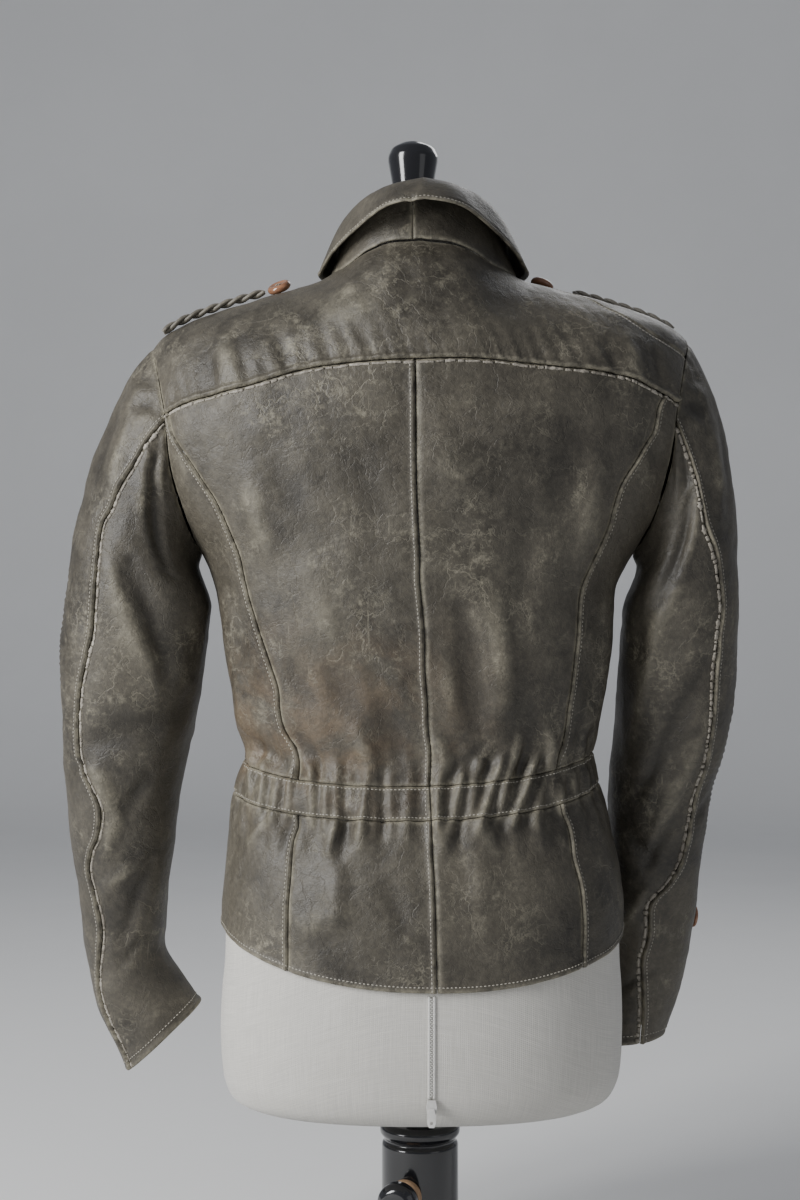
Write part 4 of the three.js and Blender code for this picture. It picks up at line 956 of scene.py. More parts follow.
def stand_line(turn, share):
    """Stand of the collar, from its foot on the neck to the fold."""
    x, y = neck_plan(turn)
    degrees = np.abs(np.degrees(turn))
    depth = np.where(np.cos(turn) > 0, STAND_PLAN["back"], STAND_PLAN["front"])
    top = np.stack([STAND_PLAN["x"] + STAND_PLAN["half"] * np.sin(turn), -depth * np.cos(turn),
                    stand_top(degrees)], -1)
    lift = mix(1.2, 5.2, fade(60, 120, degrees)) + 3 * fade(145, 170, degrees)
    foot = np.stack([x * 0.985, y * 0.985, seat_height(x, y) + lift], -1)
    return mix(foot, top, np.asarray(share)[..., None])


def fall_edge(turn):
    degrees = np.abs(np.degrees(turn))
    x = NECK["x"] + fall_half(degrees) * np.sin(turn)
    y = -fall_depth(degrees) * np.cos(turn)
    resting = seat_height(x, y) + mix(FALL_CLEAR[0], FALL_CLEAR[1], fade(95, 150, degrees))
    return np.stack([x, y, mix(fall_rise(degrees), resting, fade(60, 95, degrees))], -1)


def fall_point(turn, share):
    """Fall of the collar: up from the stand, over the fold and down to its free edge."""
    start = stand_line(turn, np.ones_like(turn)) + np.array([0, 0, SEAM])
    end = fall_edge(turn)
    lean = fade(70, 120, np.abs(np.degrees(turn)))
    up = start.copy()
    up[..., 2] += mix(14, 9, lean)
    over = mix(end, start, 0.4)
    over[..., 2] = np.maximum(end[..., 2], mix(end[..., 2], start[..., 2], 0.4)) + mix(13, 9, lean)
    t = np.asarray(share)[..., None]
    return ((1 - t) ** 3 * start + 3 * (1 - t) ** 2 * t * up + 3 * (1 - t) * t * t * over + t ** 3 * end)


def collar_surface(shape, first, last, side, thickness):
    """Visible side of a collar piece; the fall's lies one thickness off its line."""
    def surface(u, v):
        turn = np.radians(mix(first, last, u))
        inside = np.clip(v, 0.01, 0.99)
        normal = outward(shape, turn, inside, 0.01, 0.01) * side
        return shape(turn, v) + normal * thickness, normal
    return surface


def make_collar():
    """Stand in two halves, and the fall that turns down over it."""
    def soft(base, normals, u, v, gaps):
        return uneven(base, COLLAR_LUMPS)
    for label, first, last in [("left", -COLLAR_END, COLLAR_JOIN - 0.15),
                               ("right", COLLAR_JOIN + 0.15, COLLAR_END)]:
        surface = collar_surface(stand_line, first, last, 1, 0)
        leather_sheet("collar_stand_" + label, surface, {
            "left": "plain", "right": "plain", "bottom": "plain"}, soft, step=2.2)

    def fall_fine(base, normals, u, v, gaps):
        edge = gaps["top"]
        welt = 0.7 * np.exp(-((edge - 1.6) / 1.2) ** 2) - 0.6 * np.exp(-((edge - 3.9) / 0.8) ** 2)
        notch = -1.6 * np.exp(-((u - (COLLAR_JOIN + COLLAR_END) / (2 * COLLAR_END)) / 0.004) ** 2)
        notch = notch * (1 - fade(5, 8, edge))
        return soft(base, normals, u, v, gaps) + welt + notch
    surface = collar_surface(fall_point, -COLLAR_END, COLLAR_END, -1, COLLAR_LEATHER)
    leather_sheet("collar_fall", surface, {"left": "plain", "right": "plain", "top": "plain"},
                  fall_fine, step=2.2, thickness=COLLAR_LEATHER)


def line_beside(node, gap, side):
    """Line on a piece at a given distance from its left, right, bottom or top edge."""
    piece = PIECES[node]
    values, grids = piece["across"], [piece["points"], piece["normals"]]
    if side in ("bottom", "top"):
        values, grids = piece["along"].T, [grid.swapaxes(0, 1) for grid in grids]
    if side in ("right", "top"):
        values = values[:, -1:] - values
    lines = np.empty((2, len(values), 3))
    for i, row in enumerate(values):
        order = slice(None) if row[-1] > row[0] else slice(None, None, -1)
        for which, grid in enumerate(grids):
            for k in range(3):
                lines[which, i, k] = np.interp(gap, row[order], grid[i, :, k][order])
    return lines[0], unit(lines[1])


def resampled(line, normals, pitch):
    """The same line with points at an even pitch."""
    lengths = np.concatenate([[0], np.cumsum(np.linalg.norm(np.diff(line, axis=0), axis=1))])
    count = max(2, int(lengths[-1] / pitch))
    spots = (np.arange(count) + 0.5) * lengths[-1] / count
    points = np.stack([np.interp(spots, lengths, line[:, k]) for k in range(3)], -1)
    facing = unit(np.stack([np.interp(spots, lengths, normals[:, k]) for k in range(3)], -1))
    return points, facing


def add_stitches(bm, line, normals):
    """Row of sewn stitches, each a small long bead sunk a little into the leather."""
    points, facing = resampled(line, normals, STITCH_PITCH)
    tangents = unit(np.gradient(points, axis=0))
    for point, normal, tangent in zip(points, facing, tangents):
        side = np.cross(normal, tangent)
        axes = [tangent * STITCH_SIZE[0], side * STITCH_SIZE[1], normal * STITCH_SIZE[2]]
        matrix = Matrix([[axes[c][r] * MM for c in range(3)] + [(point[r] + 0.08 * normal[r]) * MM]
                         for r in range(3)] + [[0, 0, 0, 1]])
        bmesh.ops.create_icosphere(bm, subdivisions=1, radius=1, matrix=matrix)


def stitched(name, rows):
    """One mesh of several rows of stitches."""
    bm = bmesh.new()
    for line, normals in rows:
        add_stitches(bm, line, normals)
    finished(name, mesh_from(bm, name), thread_material(), "form", ())


def make_stitches():
    """Every row of stitches that shows."""
    rows = STITCH_ROWS
    back = []
    for node in ("back_centre_left", "skirt_centre_left", "waistband_back_left"):
        back.append(line_beside(node, rows["centre back"], "right"))
    for node, side in (("back_side_left", "right"), ("skirt_side_left", "right"),
                       ("back_side_right", "left"), ("skirt_side_right", "left")):
        back.append(line_beside(node, rows["princess"], side))
    stitched("stitches_back_seams", back)
    band = []
    for label in ("back_left", "back_right", "front_left", "front_right"):
        for side in ("bottom", "top"):
            band.append(line_beside("waistband_" + label, rows["band"], side))
    stitched("stitches_waistband", band)
    hem = [line_beside("skirt_" + label, rows["hem"], "bottom") for label in (
        "side_left", "centre_left", "centre_right", "side_right", "front_left", "front_right")]
    stitched("stitches_hem", hem)
    sleeves = []
    for label in ("left", "right"):
        sleeves += [line_beside(f"sleeve_{label}_upper", rows["sleeve"], "right"),
                    line_beside(f"sleeve_{label}_upper", rows["cuff"], "top"),
                    line_beside(f"sleeve_{label}_under", rows["cuff"], "top")]
    stitched("stitches_sleeves", sleeves)
    top = [line_beside("collar_fall", rows["collar"], "top")]
    line, normals = line_beside("yoke", rows["shoulder"], "top")
    keep = line[:, 0] > SHOULDER_ROW_FROM
    top.append((line[keep], normals[keep]))
    for label in ("left", "right"):
        top.append(line_beside("front_" + label, rows["closing"], "right"))
    stitched("stitches_top", top)


def raw_strip(bm, line, normals, across, radius, torn, seed):
    """Raw leather edge beside a seam: torn lengths of about the given size, each a ragged roll."""
    points, facing = resampled(line, normals, 1.0)
    tangents = unit(np.gradient(points, axis=0))
    random = np.random.default_rng(seed)
    section = np.radians(np.array([-15, 30, 75, 120, 165, 210]))
    start = 0
    while start < len(points) - 3:
        end = min(start + max(3, int(torn * random.uniform(0.5, 1.5))), len(points))
        wide = radius * random.uniform(0.7, 1.3)
        shift = random.uniform(-0.4, 0.4)
        tilt = random.uniform(-0.6, 0.6)
        rings = []
        for i in range(start, end):
            along = (i - start) / (end - start - 1)
            taper = 0.5 + 0.5 * math.sin(math.pi * min(max(along, 0.1), 0.9)) ** 0.5
            side = np.cross(facing[i], tangents[i]) * across
            spot = points[i] + side * (shift + tilt * (along - 0.5)) + facing[i] * 0.25
            reach = wide * taper * (1 + 0.2 * random.normal())
            tall = radius * 0.8 * taper * (1 + 0.2 * random.normal())
            turns = section + 0.15 * random.normal(size=len(section))
            rings.append(spot + side * (reach * np.cos(turns))[:, None]
                         + facing[i] * (tall * np.sin(turns))[:, None])
        if end - start >= 3:
            add_tube(bm, np.array(rings))
        start = end + (random.random() < 0.35)


def add_tube(bm, rows):
    """Tube through rings of points, with its two ends closed."""
    rings = [[bm.verts.new(Vector(point * MM)) for point in row] for row in rows]
    edges = []
    for ring in rings:
        edges.append([bm.edges.new((ring[k], ring[(k + 1) % len(ring)])) for k in range(len(ring))])
    for first, second in zip(edges, edges[1:]):
        bmesh.ops.bridge_loops(bm, edges=first + second)
    for loop in (edges[0], edges[-1]):
        bmesh.ops.contextual_create(bm, geom=loop)


def add_fibres(bm, line, normals, across, reach, count, seed):
    """Loose fibres that stand out of a raw edge."""
    random = np.random.default_rng(seed)
    points, facing = resampled(line, normals, 1.0)
    tangents = unit(np.gradient(points, axis=0))
    for i in random.integers(1, len(points) - 1, count):
        side = np.cross(facing[i], tangents[i]) * across
        way = unit(side + 0.55 * random.normal() * tangents[i] + 0.35 * abs(random.normal()) * facing[i])
        length = reach * random.uniform(0.5, 1.2)
        turn = Vector(way).to_track_quat("Z", "Y").to_matrix().to_4x4()
        spot = (points[i] + facing[i] * 0.7 + way * length / 2) * MM
        bmesh.ops.create_cone(bm, cap_ends=True, segments=3, radius1=0.2 * MM, radius2=0.05 * MM,
                              depth=length * MM, matrix=Matrix.Translation(Vector(spot)) @ turn)


def raw_piece(name, strips):
    bm = bmesh.new()
    for line, normals, across, radius, torn, fibres, seed in strips:
        raw_strip(bm, line, normals, across, radius, torn, seed)
        add_fibres(bm, line, normals, across, FIBRE_REACH, fibres, seed + 1)
    finished(name, mesh_from(bm, name), raw_material(), "form", ())


def make_raw_edges():
    """Raw edges below the yoke seam and down the back seam of each sleeve."""
    strips = []
    radius, torn, fibres = RAW_YOKE
    for number, node in enumerate(("back_side_left", "back_centre_left", "back_centre_right",
                                   "back_side_right")):
        line, normals = line_beside(node, 2.2, "top")
        strips.append((line, normals, -1, radius, torn, fibres, 40 + number))
    raw_piece("raw_edge_yoke", strips)
    for label, seed in (("left", 60), ("right", 70)):
        line, normals = line_beside(f"sleeve_{label}_under", 2.4, "left")
        raw_piece("raw_edge_sleeve_" + label, [(line, normals, 1, *RAW_SLEEVES[label], seed)])


def lathe(name, profile, steps=LATHE_STEPS, matrix=None):
    """Turned solid from a profile of radius and height, in mm."""
    bm = bmesh.new()
    verts = [bm.verts.new((r * MM, 0, z * MM)) for r, z in profile]
    edges = [bm.edges.new(pair) for pair in zip(verts, verts[1:])]
    bmesh.ops.spin(bm, geom=verts + edges, cent=(0, 0, 0), axis=(0, 0, 1), angle=2 * math.pi,
                   steps=steps, use_merge=True, use_duplicate=False)
    bmesh.ops.remove_doubles(bm, verts=bm.verts, dist=1e-6)
    if matrix:
        bmesh.ops.transform(bm, matrix=matrix, verts=bm.verts)
    return mesh_from(bm, name)


def turned(name, profile, material, body, node, steps=LATHE_STEPS, place=None):
    """Turned piece on its body, in place of one solid."""
    finished(name, lathe(name, profile, steps, place), material, body, (node,))


def softened(corners, radius):
    """Profile with each inner corner turned into a small arc."""
    points = [corners[0]]
    for before, corner, after in zip(corners, corners[1:], corners[2:]):
        a, b, c = (np.array(p, float) for p in (before, corner, after))
        into, out = unit(a - b), unit(c - b)
        reach = min(radius, 0.45 * np.linalg.norm(a - b), 0.45 * np.linalg.norm(c - b))
        start, end = b + into * reach, b + out * reach
        for t in (0, 0.25, 0.5, 0.75, 1):
            spot = (1 - t) ** 2 * start + 2 * (1 - t) * t * b + t * t * end
            points.append((float(spot[0]), float(spot[1])))
    points.append(corners[-1])
    return points


def tube_rows(centres, ups, wide, tall, sides):
    """Rings of an oval section along a line."""
    tangents = unit(np.gradient(centres, axis=0))
    flats = unit(np.cross(tangents, ups))
    ups = np.cross(flats, tangents)
    turns = np.arange(sides) * 2 * np.pi / sides
    return (centres[:, None] + flats[:, None] * (np.cos(turns) * wide)[None, :, None]
            + ups[:, None] * (np.sin(turns) * tall)[None, :, None])


def make_braids():
    """Two strands of leather plaited along each shoulder."""
    for label, side, back, lift in (("left", -1, 14, 4.7), ("right", 1, -11, 5.0)):
        x = side * np.linspace(*LACE_REACH, 113)
        y = np.full(x.shape, -float(back))
        centre = np.stack([x, y, seat_height(x, y) + lift], -1)
        share = np.linspace(0, 1, len(x))
        up = np.broadcast_to(np.array([0.0, 0.0, 1.0]), centre.shape)
        bm = bmesh.new()
        for strand in (0, 1):
            turn = np.pi * (LACE_LINKS * share) + np.pi * strand
            path = centre.copy()
            path[:, 1] += PLAIT_SWING[0] * np.cos(turn)
            path[:, 2] += PLAIT_SWING[1] * np.sin(turn)
            add_tube(bm, tube_rows(path, up, *STRAND, 10))
        name = "plaited_lace_" + label
        finished(name, mesh_from(bm, name), lace_material(), "form", ("braid_" + label,))


def button_profile(radius, height):
    return softened([(0, 0), (radius * 0.78, 0), (radius, height * 0.3), (radius, height * 0.7),
                     (radius * 0.78, height), (radius * 0.5, height * 0.84), (0, height * 0.8)],
                    radius * 0.2)


def button_places():
    """Node, foot, outward direction, radius and height of every button."""
    places = []
    for label, side, back, x, lift in (("left", -1, 12, 117.5, 2.6), ("right", 1, -8, 103, 1.7)):
        spot = np.array([side * x, -back, float(seat_height(side * x, np.float64(-back))) + lift])
        lean = unit(np.array([side * 0.42, -0.45 if side < 0 else 0.2, 1.0]))
        places.append(("shoulder_button_" + label, spot, lean, *SHOULDER_BUTTON))
    for i, height in enumerate(FRONT_BUTTON_HEIGHTS):
        place = (np.array([180.0]), np.array([float(height)]))
        normal = outward(torso_point, *place, 0.2, 0.5)[0]
        spot = torso_point(*place)[0] + normal * (CLOSURE_LIFT + float(relief(*place)[0]) + 0.5)
        places.append((f"front_button_{i + 1}", spot, normal, *FRONT_BUTTON))
    for label, side, stations in (("left", -1, SLEEVE_LEFT), ("right", 1, SLEEVE_RIGHT)):
        def at(turn, station, side=side, stations=stations):
            return sleeve_point(side, stations, turn, station)
        place = (np.array([math.radians(CUFF_BUTTON_TURN[label])]), np.array([CUFF_BUTTON_STATION]))
        normal = outward(at, *place, 0.01, 0.02)[0] * side
        places.append(("cuff_button_" + label, at(*place)[0] - normal * 0.1, normal, *CUFF_BUTTON))
    return places


def make_buttons():
    """Turned buttons, each sewn on with two threads."""
    spots = button_places()
    for node, spot, normal, radius, height in spots:
        turn = Vector(normal).to_track_quat("Z", "Y").to_matrix().to_4x4()
        matrix = Matrix.Translation(Vector(spot * MM)) @ turn
        turned("turned_" + node, button_profile(radius, height), button_material(), "form", node,
               BUTTON_STEPS, matrix)
    bm = bmesh.new()
    for node, spot, normal, radius, height in spots:
        turn = np.array(Vector(normal).to_track_quat("Z", "Y").to_matrix())
        for across in (-1.5, 1.5):
            ends = np.array([[across, -1.9, height * 0.83], [across, 0, height * 0.9],
                             [across, 1.9, height * 0.83]])
            line = spot + ends @ turn.T
            add_tube(bm, tube_rows(line, np.broadcast_to(normal, line.shape), 0.55, 0.4, 8))
    finished("button_threads", mesh_from(bm, "button_threads", smooth=False), thread_material(), "form",
             ())


def form_point(turn, height):
    """Skin of the dress form at an angle from its centre back and a height."""
    rows = np.array(FORM, dtype=float)
    half, back, front, mid = (track(rows[:, (0, k)])(height) for k in (1, 2, 3, 4))
    covered = FORM_INSET * fade(328, 356, height) * (1 - fade(862, 880, height))
    half, back, front = half - covered, back - covered, front - covered
    exponent = mix(2.3, 2.0, fade(780, 840, height))
    depth = np.where(np.cos(turn) > 0, back, front)
    return np.stack([mid + half * signed_power(np.sin(turn), 2 / exponent),
                     -depth * signed_power(np.cos(turn), 2 / exponent), height + 0 * turn], -1)


def make_form():
    """Linen torso: closed flat below, a short neck with a flat top."""
    top, bottom = FORM[-1][0], FORM[0][0]
    turns = np.linspace(0, 2 * np.pi, 161)
    heights = np.concatenate([np.linspace(bottom, 210, 14), np.linspace(216, 820, 90),
                              np.linspace(824, 884, 30), np.linspace(888, top, 10)])
    turn, height = np.meshgrid(turns, heights)
    side = form_point(turn, height)
    foot, crown = side[0], side[-1]
    middle_foot = np.array([0.0, -4.0, bottom])
    middle_crown = np.array([FORM[-1][4], 0.0, top])
    lower = [mix(middle_foot, foot, share) for share in (0.0, 0.25, 0.5, 0.75, 0.94)]
    upper = [mix(middle_crown, crown, share) for share in (0.96, 0.75, 0.5, 0.25, 0.0)]
    points = np.concatenate([np.array(lower), side, np.array(upper)])
    points[:, -1] = points[:, 0]
    across, along = arc_lengths(points)
    across = across[len(lower) + 20][None] * np.ones((len(points), 1))
    mesh, _, _, _ = grid_mesh("linen_form", points, (across, along))
    bm = bmesh.new()
    bm.from_mesh(mesh)
    bmesh.ops.remove_doubles(bm, verts=bm.verts, dist=1e-5)
    bmesh.ops.recalc_face_normals(bm, faces=bm.faces)
    bm.to_mesh(mesh)
    bm.free()
    finished("linen_form", mesh, linen_material(), "form", ("form_body",))
    knob = softened([(0, 0), (40, 0), (42, 2.5), (38, 5), (14, 6), (14.5, 14), (17, 24), (19, 36),
                     (21, 47), (21, 51), (18, 58), (10, 62.5), (0, 64)], 2.5)
    place = Matrix.Translation((NECK_KNOB["x"] * MM, 0, NECK_KNOB["z"] * MM))
    turned("turned_neck_knob", knob, lacquer_material(), "form", "neck_knob", place=place)


def make_zip():
    """Closed zip at the centre back of the form: two tape edges, the coil, slider and pull."""
    heights = np.linspace(ZIP_FOOT, ZIP_TOP, 60)
    turn = np.arcsin(np.clip(abs(ZIP_X - 1) / 168, 0, 1) ** 1.15)
    skin = form_point(np.full(heights.shape, float(turn)), heights)
    skin[:, 0] = ZIP_X
    facing = np.broadcast_to(np.array([0.0, -1.0, 0.0]), skin.shape)
    bm = bmesh.new()
    for side in (-1, 1):
        line = skin + np.array([side * 2.0, -0.75, 0])
        add_tube(bm, tube_rows(line, facing, 1.15, 0.7, 10))
    for i, height in enumerate(np.arange(ZIP_FOOT + 2, ZIP_TOP - 1, COIL_PITCH)):
        depth = float(np.interp(height, heights, skin[:, 1]))
        swing = 0.45 if i % 2 else -0.45
        matrix = Matrix.Translation(Vector((ZIP_X + swing, depth - 1.2, height)) * MM)
        matrix = matrix @ Matrix.Diagonal((1.25 * MM, 0.6 * MM, 0.5 * MM, 1))
        bmesh.ops.create_icosphere(bm, subdivisions=1, radius=1, matrix=matrix)
    name = "zip_tape_and_coil"
    finished(name, mesh_from(bm, name), tape_material(), "form", ("form_zip",))
    for node, body in (("form_zip_slider", "form"), ("form_zip_pull", "zip_pull")):
        bm = bmesh.new()
        bm.from_mesh(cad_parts[node].data)
        bmesh.ops.remove_doubles(bm, verts=bm.verts, dist=1e-6)
        bmesh.ops.dissolve_limit(bm, angle_limit=0.02, verts=bm.verts, edges=bm.edges)
        sharp = [edge for edge in bm.edges if len(edge.link_faces) == 2 and edge.calc_face_angle() > 0.6]
        bmesh.ops.bevel(bm, geom=sharp, offset=0.25 * MM, affect="EDGES", segments=3, profile=0.5,
                        material=-1)
        name = "cast_" + node
        mesh = bpy.data.meshes.new(name)
        bm.to_mesh(mesh)
        bm.free()
        finished(name, mesh, enamel_material(), body, (node,))


def make_stand():
    """Flat round base, bored column with a bead at its top, and the pole in its bore."""
    base = [(0, 0), (BASE_RADIUS - 4, 0), (BASE_RADIUS, 4), (BASE_RADIUS, 11), (BASE_RADIUS - 6, 16),
            (70, BASE_TOP), (0, BASE_TOP)]
    turned("cast_base", softened(base, 3), iron_material(), "stand", "stand_base", 128)
    foot, bead = BASE_TOP + 0.3, COLUMN_TOP - 14
    column = [(BORE_RADIUS, POLE_FOOT - 4), (BORE_RADIUS, COLUMN_TOP), (COLUMN_RADIUS - 2, COLUMN_TOP),
              (COLUMN_RADIUS + 1.5, COLUMN_TOP - 4), (COLUMN_RADIUS + 1.5, bead + 5),
              (COLUMN_RADIUS - 3, bead - 1), (COLUMN_RADIUS, bead - 4), (COLUMN_RADIUS, foot + 24),
              (38, foot + 14), (48, foot + 5), (48, foot), (0, foot)]
    turned("turned_column", [(0, POLE_FOOT - 4), *softened(column, 2)], lacquer_material(), "stand",
           "stand_column", 96)
    pole = [(0, POLE_FOOT), (POLE_RADIUS, POLE_FOOT), (POLE_RADIUS, POLE_TOP), (0, POLE_TOP)]
    turned("turned_pole", softened(pole, 0.8), lacquer_material(), "pole", "form_pole")


def make_clamp():
    """Wooden boss on the column, and the knob that turns in it."""
    start = COLUMN_RADIUS + 0.3
    boss, knob = CLAMP["boss"], CLAMP["knob"]
    place = (Matrix.Translation((0, 0, CLAMP["z"] * MM))
             @ Matrix.Rotation(math.radians(-CLAMP["angle"]), 4, "Z")
             @ Matrix.Rotation(math.pi / 2, 4, "X"))
    wood = [(0, start), (boss - 2, start), (boss, start + 2), (boss, start + 8), (9, start + 12),
            (0, start + 12)]
    turned("clamp_wood", softened(wood, 1.5), wood_material(), "stand", "clamp_boss",
           CLAMP_STEPS, place)
    grip = [(0, start + 12.3), (9, start + 12.3), (knob, start + 17), (knob, start + 26),
            (12, start + 31), (0, start + 32)]
    turned("clamp_grip", softened(grip, 2), lacquer_material(), "clamp", "clamp_knob",
           CLAMP_STEPS, place)


def node_tree(material):
    material.use_nodes = True
    tree = material.node_tree
    tree.nodes.clear()
    out = tree.nodes.new("ShaderNodeOutputMaterial")
    shader = tree.nodes.new("ShaderNodeBsdfPrincipled")
    tree.links.new(shader.outputs["BSDF"], out.inputs["Surface"])
    return tree, shader


def group_sockets(group, inputs, outputs):
    """Sockets of a node group, and its two end nodes."""
    for name, kind, value in inputs:
        socket = group.interface.new_socket(name=name, in_out="INPUT", socket_type=kind)
        socket.default_value = value
    for name, kind in outputs:
        group.interface.new_socket(name=name, in_out="OUTPUT", socket_type=kind)
    return group.nodes.new("NodeGroupInput"), group.nodes.new("NodeGroupOutput")


def linked(tree, kind, inputs=None, **settings):
    """Node with its settings and inputs; an input is a value or a socket to link from."""
    node = tree.nodes.new(kind)
    for key, value in settings.items():
        setattr(node, key, value)
    for key, value in (inputs or {}).items():
        if isinstance(value, bpy.types.NodeSocket):
            tree.links.new(value, node.inputs[key])
        else:
            node.inputs[key].default_value = value
    return node


def blend_colours(tree, factor, first, second, kind="MIX"):
    """Mix of two colours; the sockets of the node for colours go by number."""
    factor_socket, first_socket, second_socket, result = 0, 6, 7, 2
    node = linked(tree, "ShaderNodeMix", data_type="RGBA", blend_type=kind)
    for key, value in ((factor_socket, factor), (first_socket, first), (second_socket, second)):
        if isinstance(value, bpy.types.NodeSocket):
            tree.links.new(value, node.inputs[key])
        else:
            node.inputs[key].default_value = value
    return node.outputs[result]


def combined(tree, operation, first, second):
    """Two values put together by one operation of maths."""
    return linked(tree, "ShaderNodeMath", {0: first, 1: second}, operation=operation).outputs[0]


def spread(tree, value, low, high, start=0.0, end=1.0):
    node = linked(tree, "ShaderNodeMapRange", {"Value": value, "From Min": low, "From Max": high,
                                               "To Min": start, "To Max": end}, clamp=True,
                  interpolation_type="SMOOTHSTEP")
    return node.outputs["Result"]


def noise(tree, coordinates, scale, detail=4.0, rough=0.55, distortion=0.0):
    return linked(tree, "ShaderNodeTexNoise", {
        "Vector": coordinates, "Scale": scale, "Detail": detail, "Roughness": rough,
        "Distortion": distortion}).outputs["Fac"]


def tan_patches(group, place):
    """Where the leather is tanned warm: low on the left and across the waist, heights in metres."""
    spots = noise(group, place, 14, 5, 0.6, 0.6)
    split = linked(group, "ShaderNodeSeparateXYZ", {"Vector": place})
    below = spread(group, split.outputs["Z"], 0.62, 0.50)
    above = spread(group, split.outputs["Z"], 0.40, 0.47)
    left = spread(group, split.outputs["X"], 0.12, -0.10)
    off_sleeve = spread(group, split.outputs["X"], -0.20, -0.165)
    warm = spread(group, spots, 0.42, 0.64)
    for share in (below, above, left, off_sleeve):
        warm = combined(group, "MULTIPLY", warm, share)
    return warm


def fine_cracks(group, place):
    """Thin veins where noise passes its middle value, in two sizes."""
    veins = 0.0
    for size, width, bend, strength in ((17, 0.011, 0.25, 1.0), (44, 0.017, 0.4, 0.6)):
        vein = noise(group, place, size, 5, 0.55, bend)
        vein = combined(group, "ABSOLUTE", combined(group, "SUBTRACT", vein, 0.5), 0.0)
        vein = combined(group, "MULTIPLY", spread(group, vein, width, 0.0), strength)
        veins = combined(group, "MAXIMUM", vein, veins)
    return veins


def long_scratches(group, place):
    """Scratches on two slanted axes."""
    scratches = 0.0
    for turn, size in ((0.5, 30), (-0.9, 44)):
        slanted = linked(group, "ShaderNodeMapping", {
            "Vector": place, "Rotation": (0.0, turn, 0.3), "Scale": (size * 9, size * 2, size * 0.55)})
        streak = spread(group, noise(group, slanted.outputs["Vector"], 1.0, 3, 0.6, 0.5), 0.66, 0.78)
        scratches = combined(group, "MAXIMUM", streak, scratches)
    return scratches


def rubbed_places(group, place, start, mottle, veins):
    """How far the leather is rubbed pale: scattered marks, raised ridges and cut edges."""
    flecks = spread(group, noise(group, place, 88, 7, 0.78, 0.2), 0.5, 0.68)
    where = spread(group, noise(group, place, 12, 4, 0.55, 0.3), 0.43, 0.68)
    marks = combined(group, "MAXIMUM", combined(group, "MULTIPLY", veins, 0.46),
                     combined(group, "MULTIPLY", flecks, 0.7))
    marks = combined(group, "MAXIMUM", marks,
                     combined(group, "MULTIPLY", long_scratches(group, place), 0.8))
    marks = combined(group, "MULTIPLY", marks, where)
    ridge = combined(group, "ADD", start.outputs["Relief wear and shade"],
                     combined(group, "MULTIPLY", combined(group, "SUBTRACT", mottle, 0.5), 1.2))
    ridge = combined(group, "MULTIPLY", spread(group, ridge, 0.2, 0.95),
                     combined(group, "ADD", combined(group, "MULTIPLY", flecks, 0.5), 0.28))
    edge = combined(group, "MULTIPLY", start.outputs["Edge"],
                    spread(group, noise(group, place, 95, 5, 0.7), 0.36, 0.6, 0.12, 0.8))
    rub = combined(group, "MAXIMUM", combined(group, "MAXIMUM", ridge, edge), marks)
    return combined(group, "MULTIPLY", rub, start.outputs["Rubbing"])


def leather_grain(group, place, mottle, veins):
    """Height of the grain: pebbles of about a millimetre, shallow wrinkles and open cracks."""
    pebbles = linked(group, "ShaderNodeTexVoronoi", {"Vector": place, "Scale": 760.0},
                     feature="SMOOTH_F1").outputs["Distance"]
    wrinkles = noise(group, place, 150, 5, 0.62, 1.1)
    height = combined(group, "ADD", combined(group, "MULTIPLY", pebbles, 0.16),
                      combined(group, "MULTIPLY", wrinkles, 0.85))
    height = combined(group, "ADD", height, combined(group, "MULTIPLY", mottle, 1.6))
    return combined(group, "SUBTRACT", height, combined(group, "MULTIPLY", veins, 0.3))


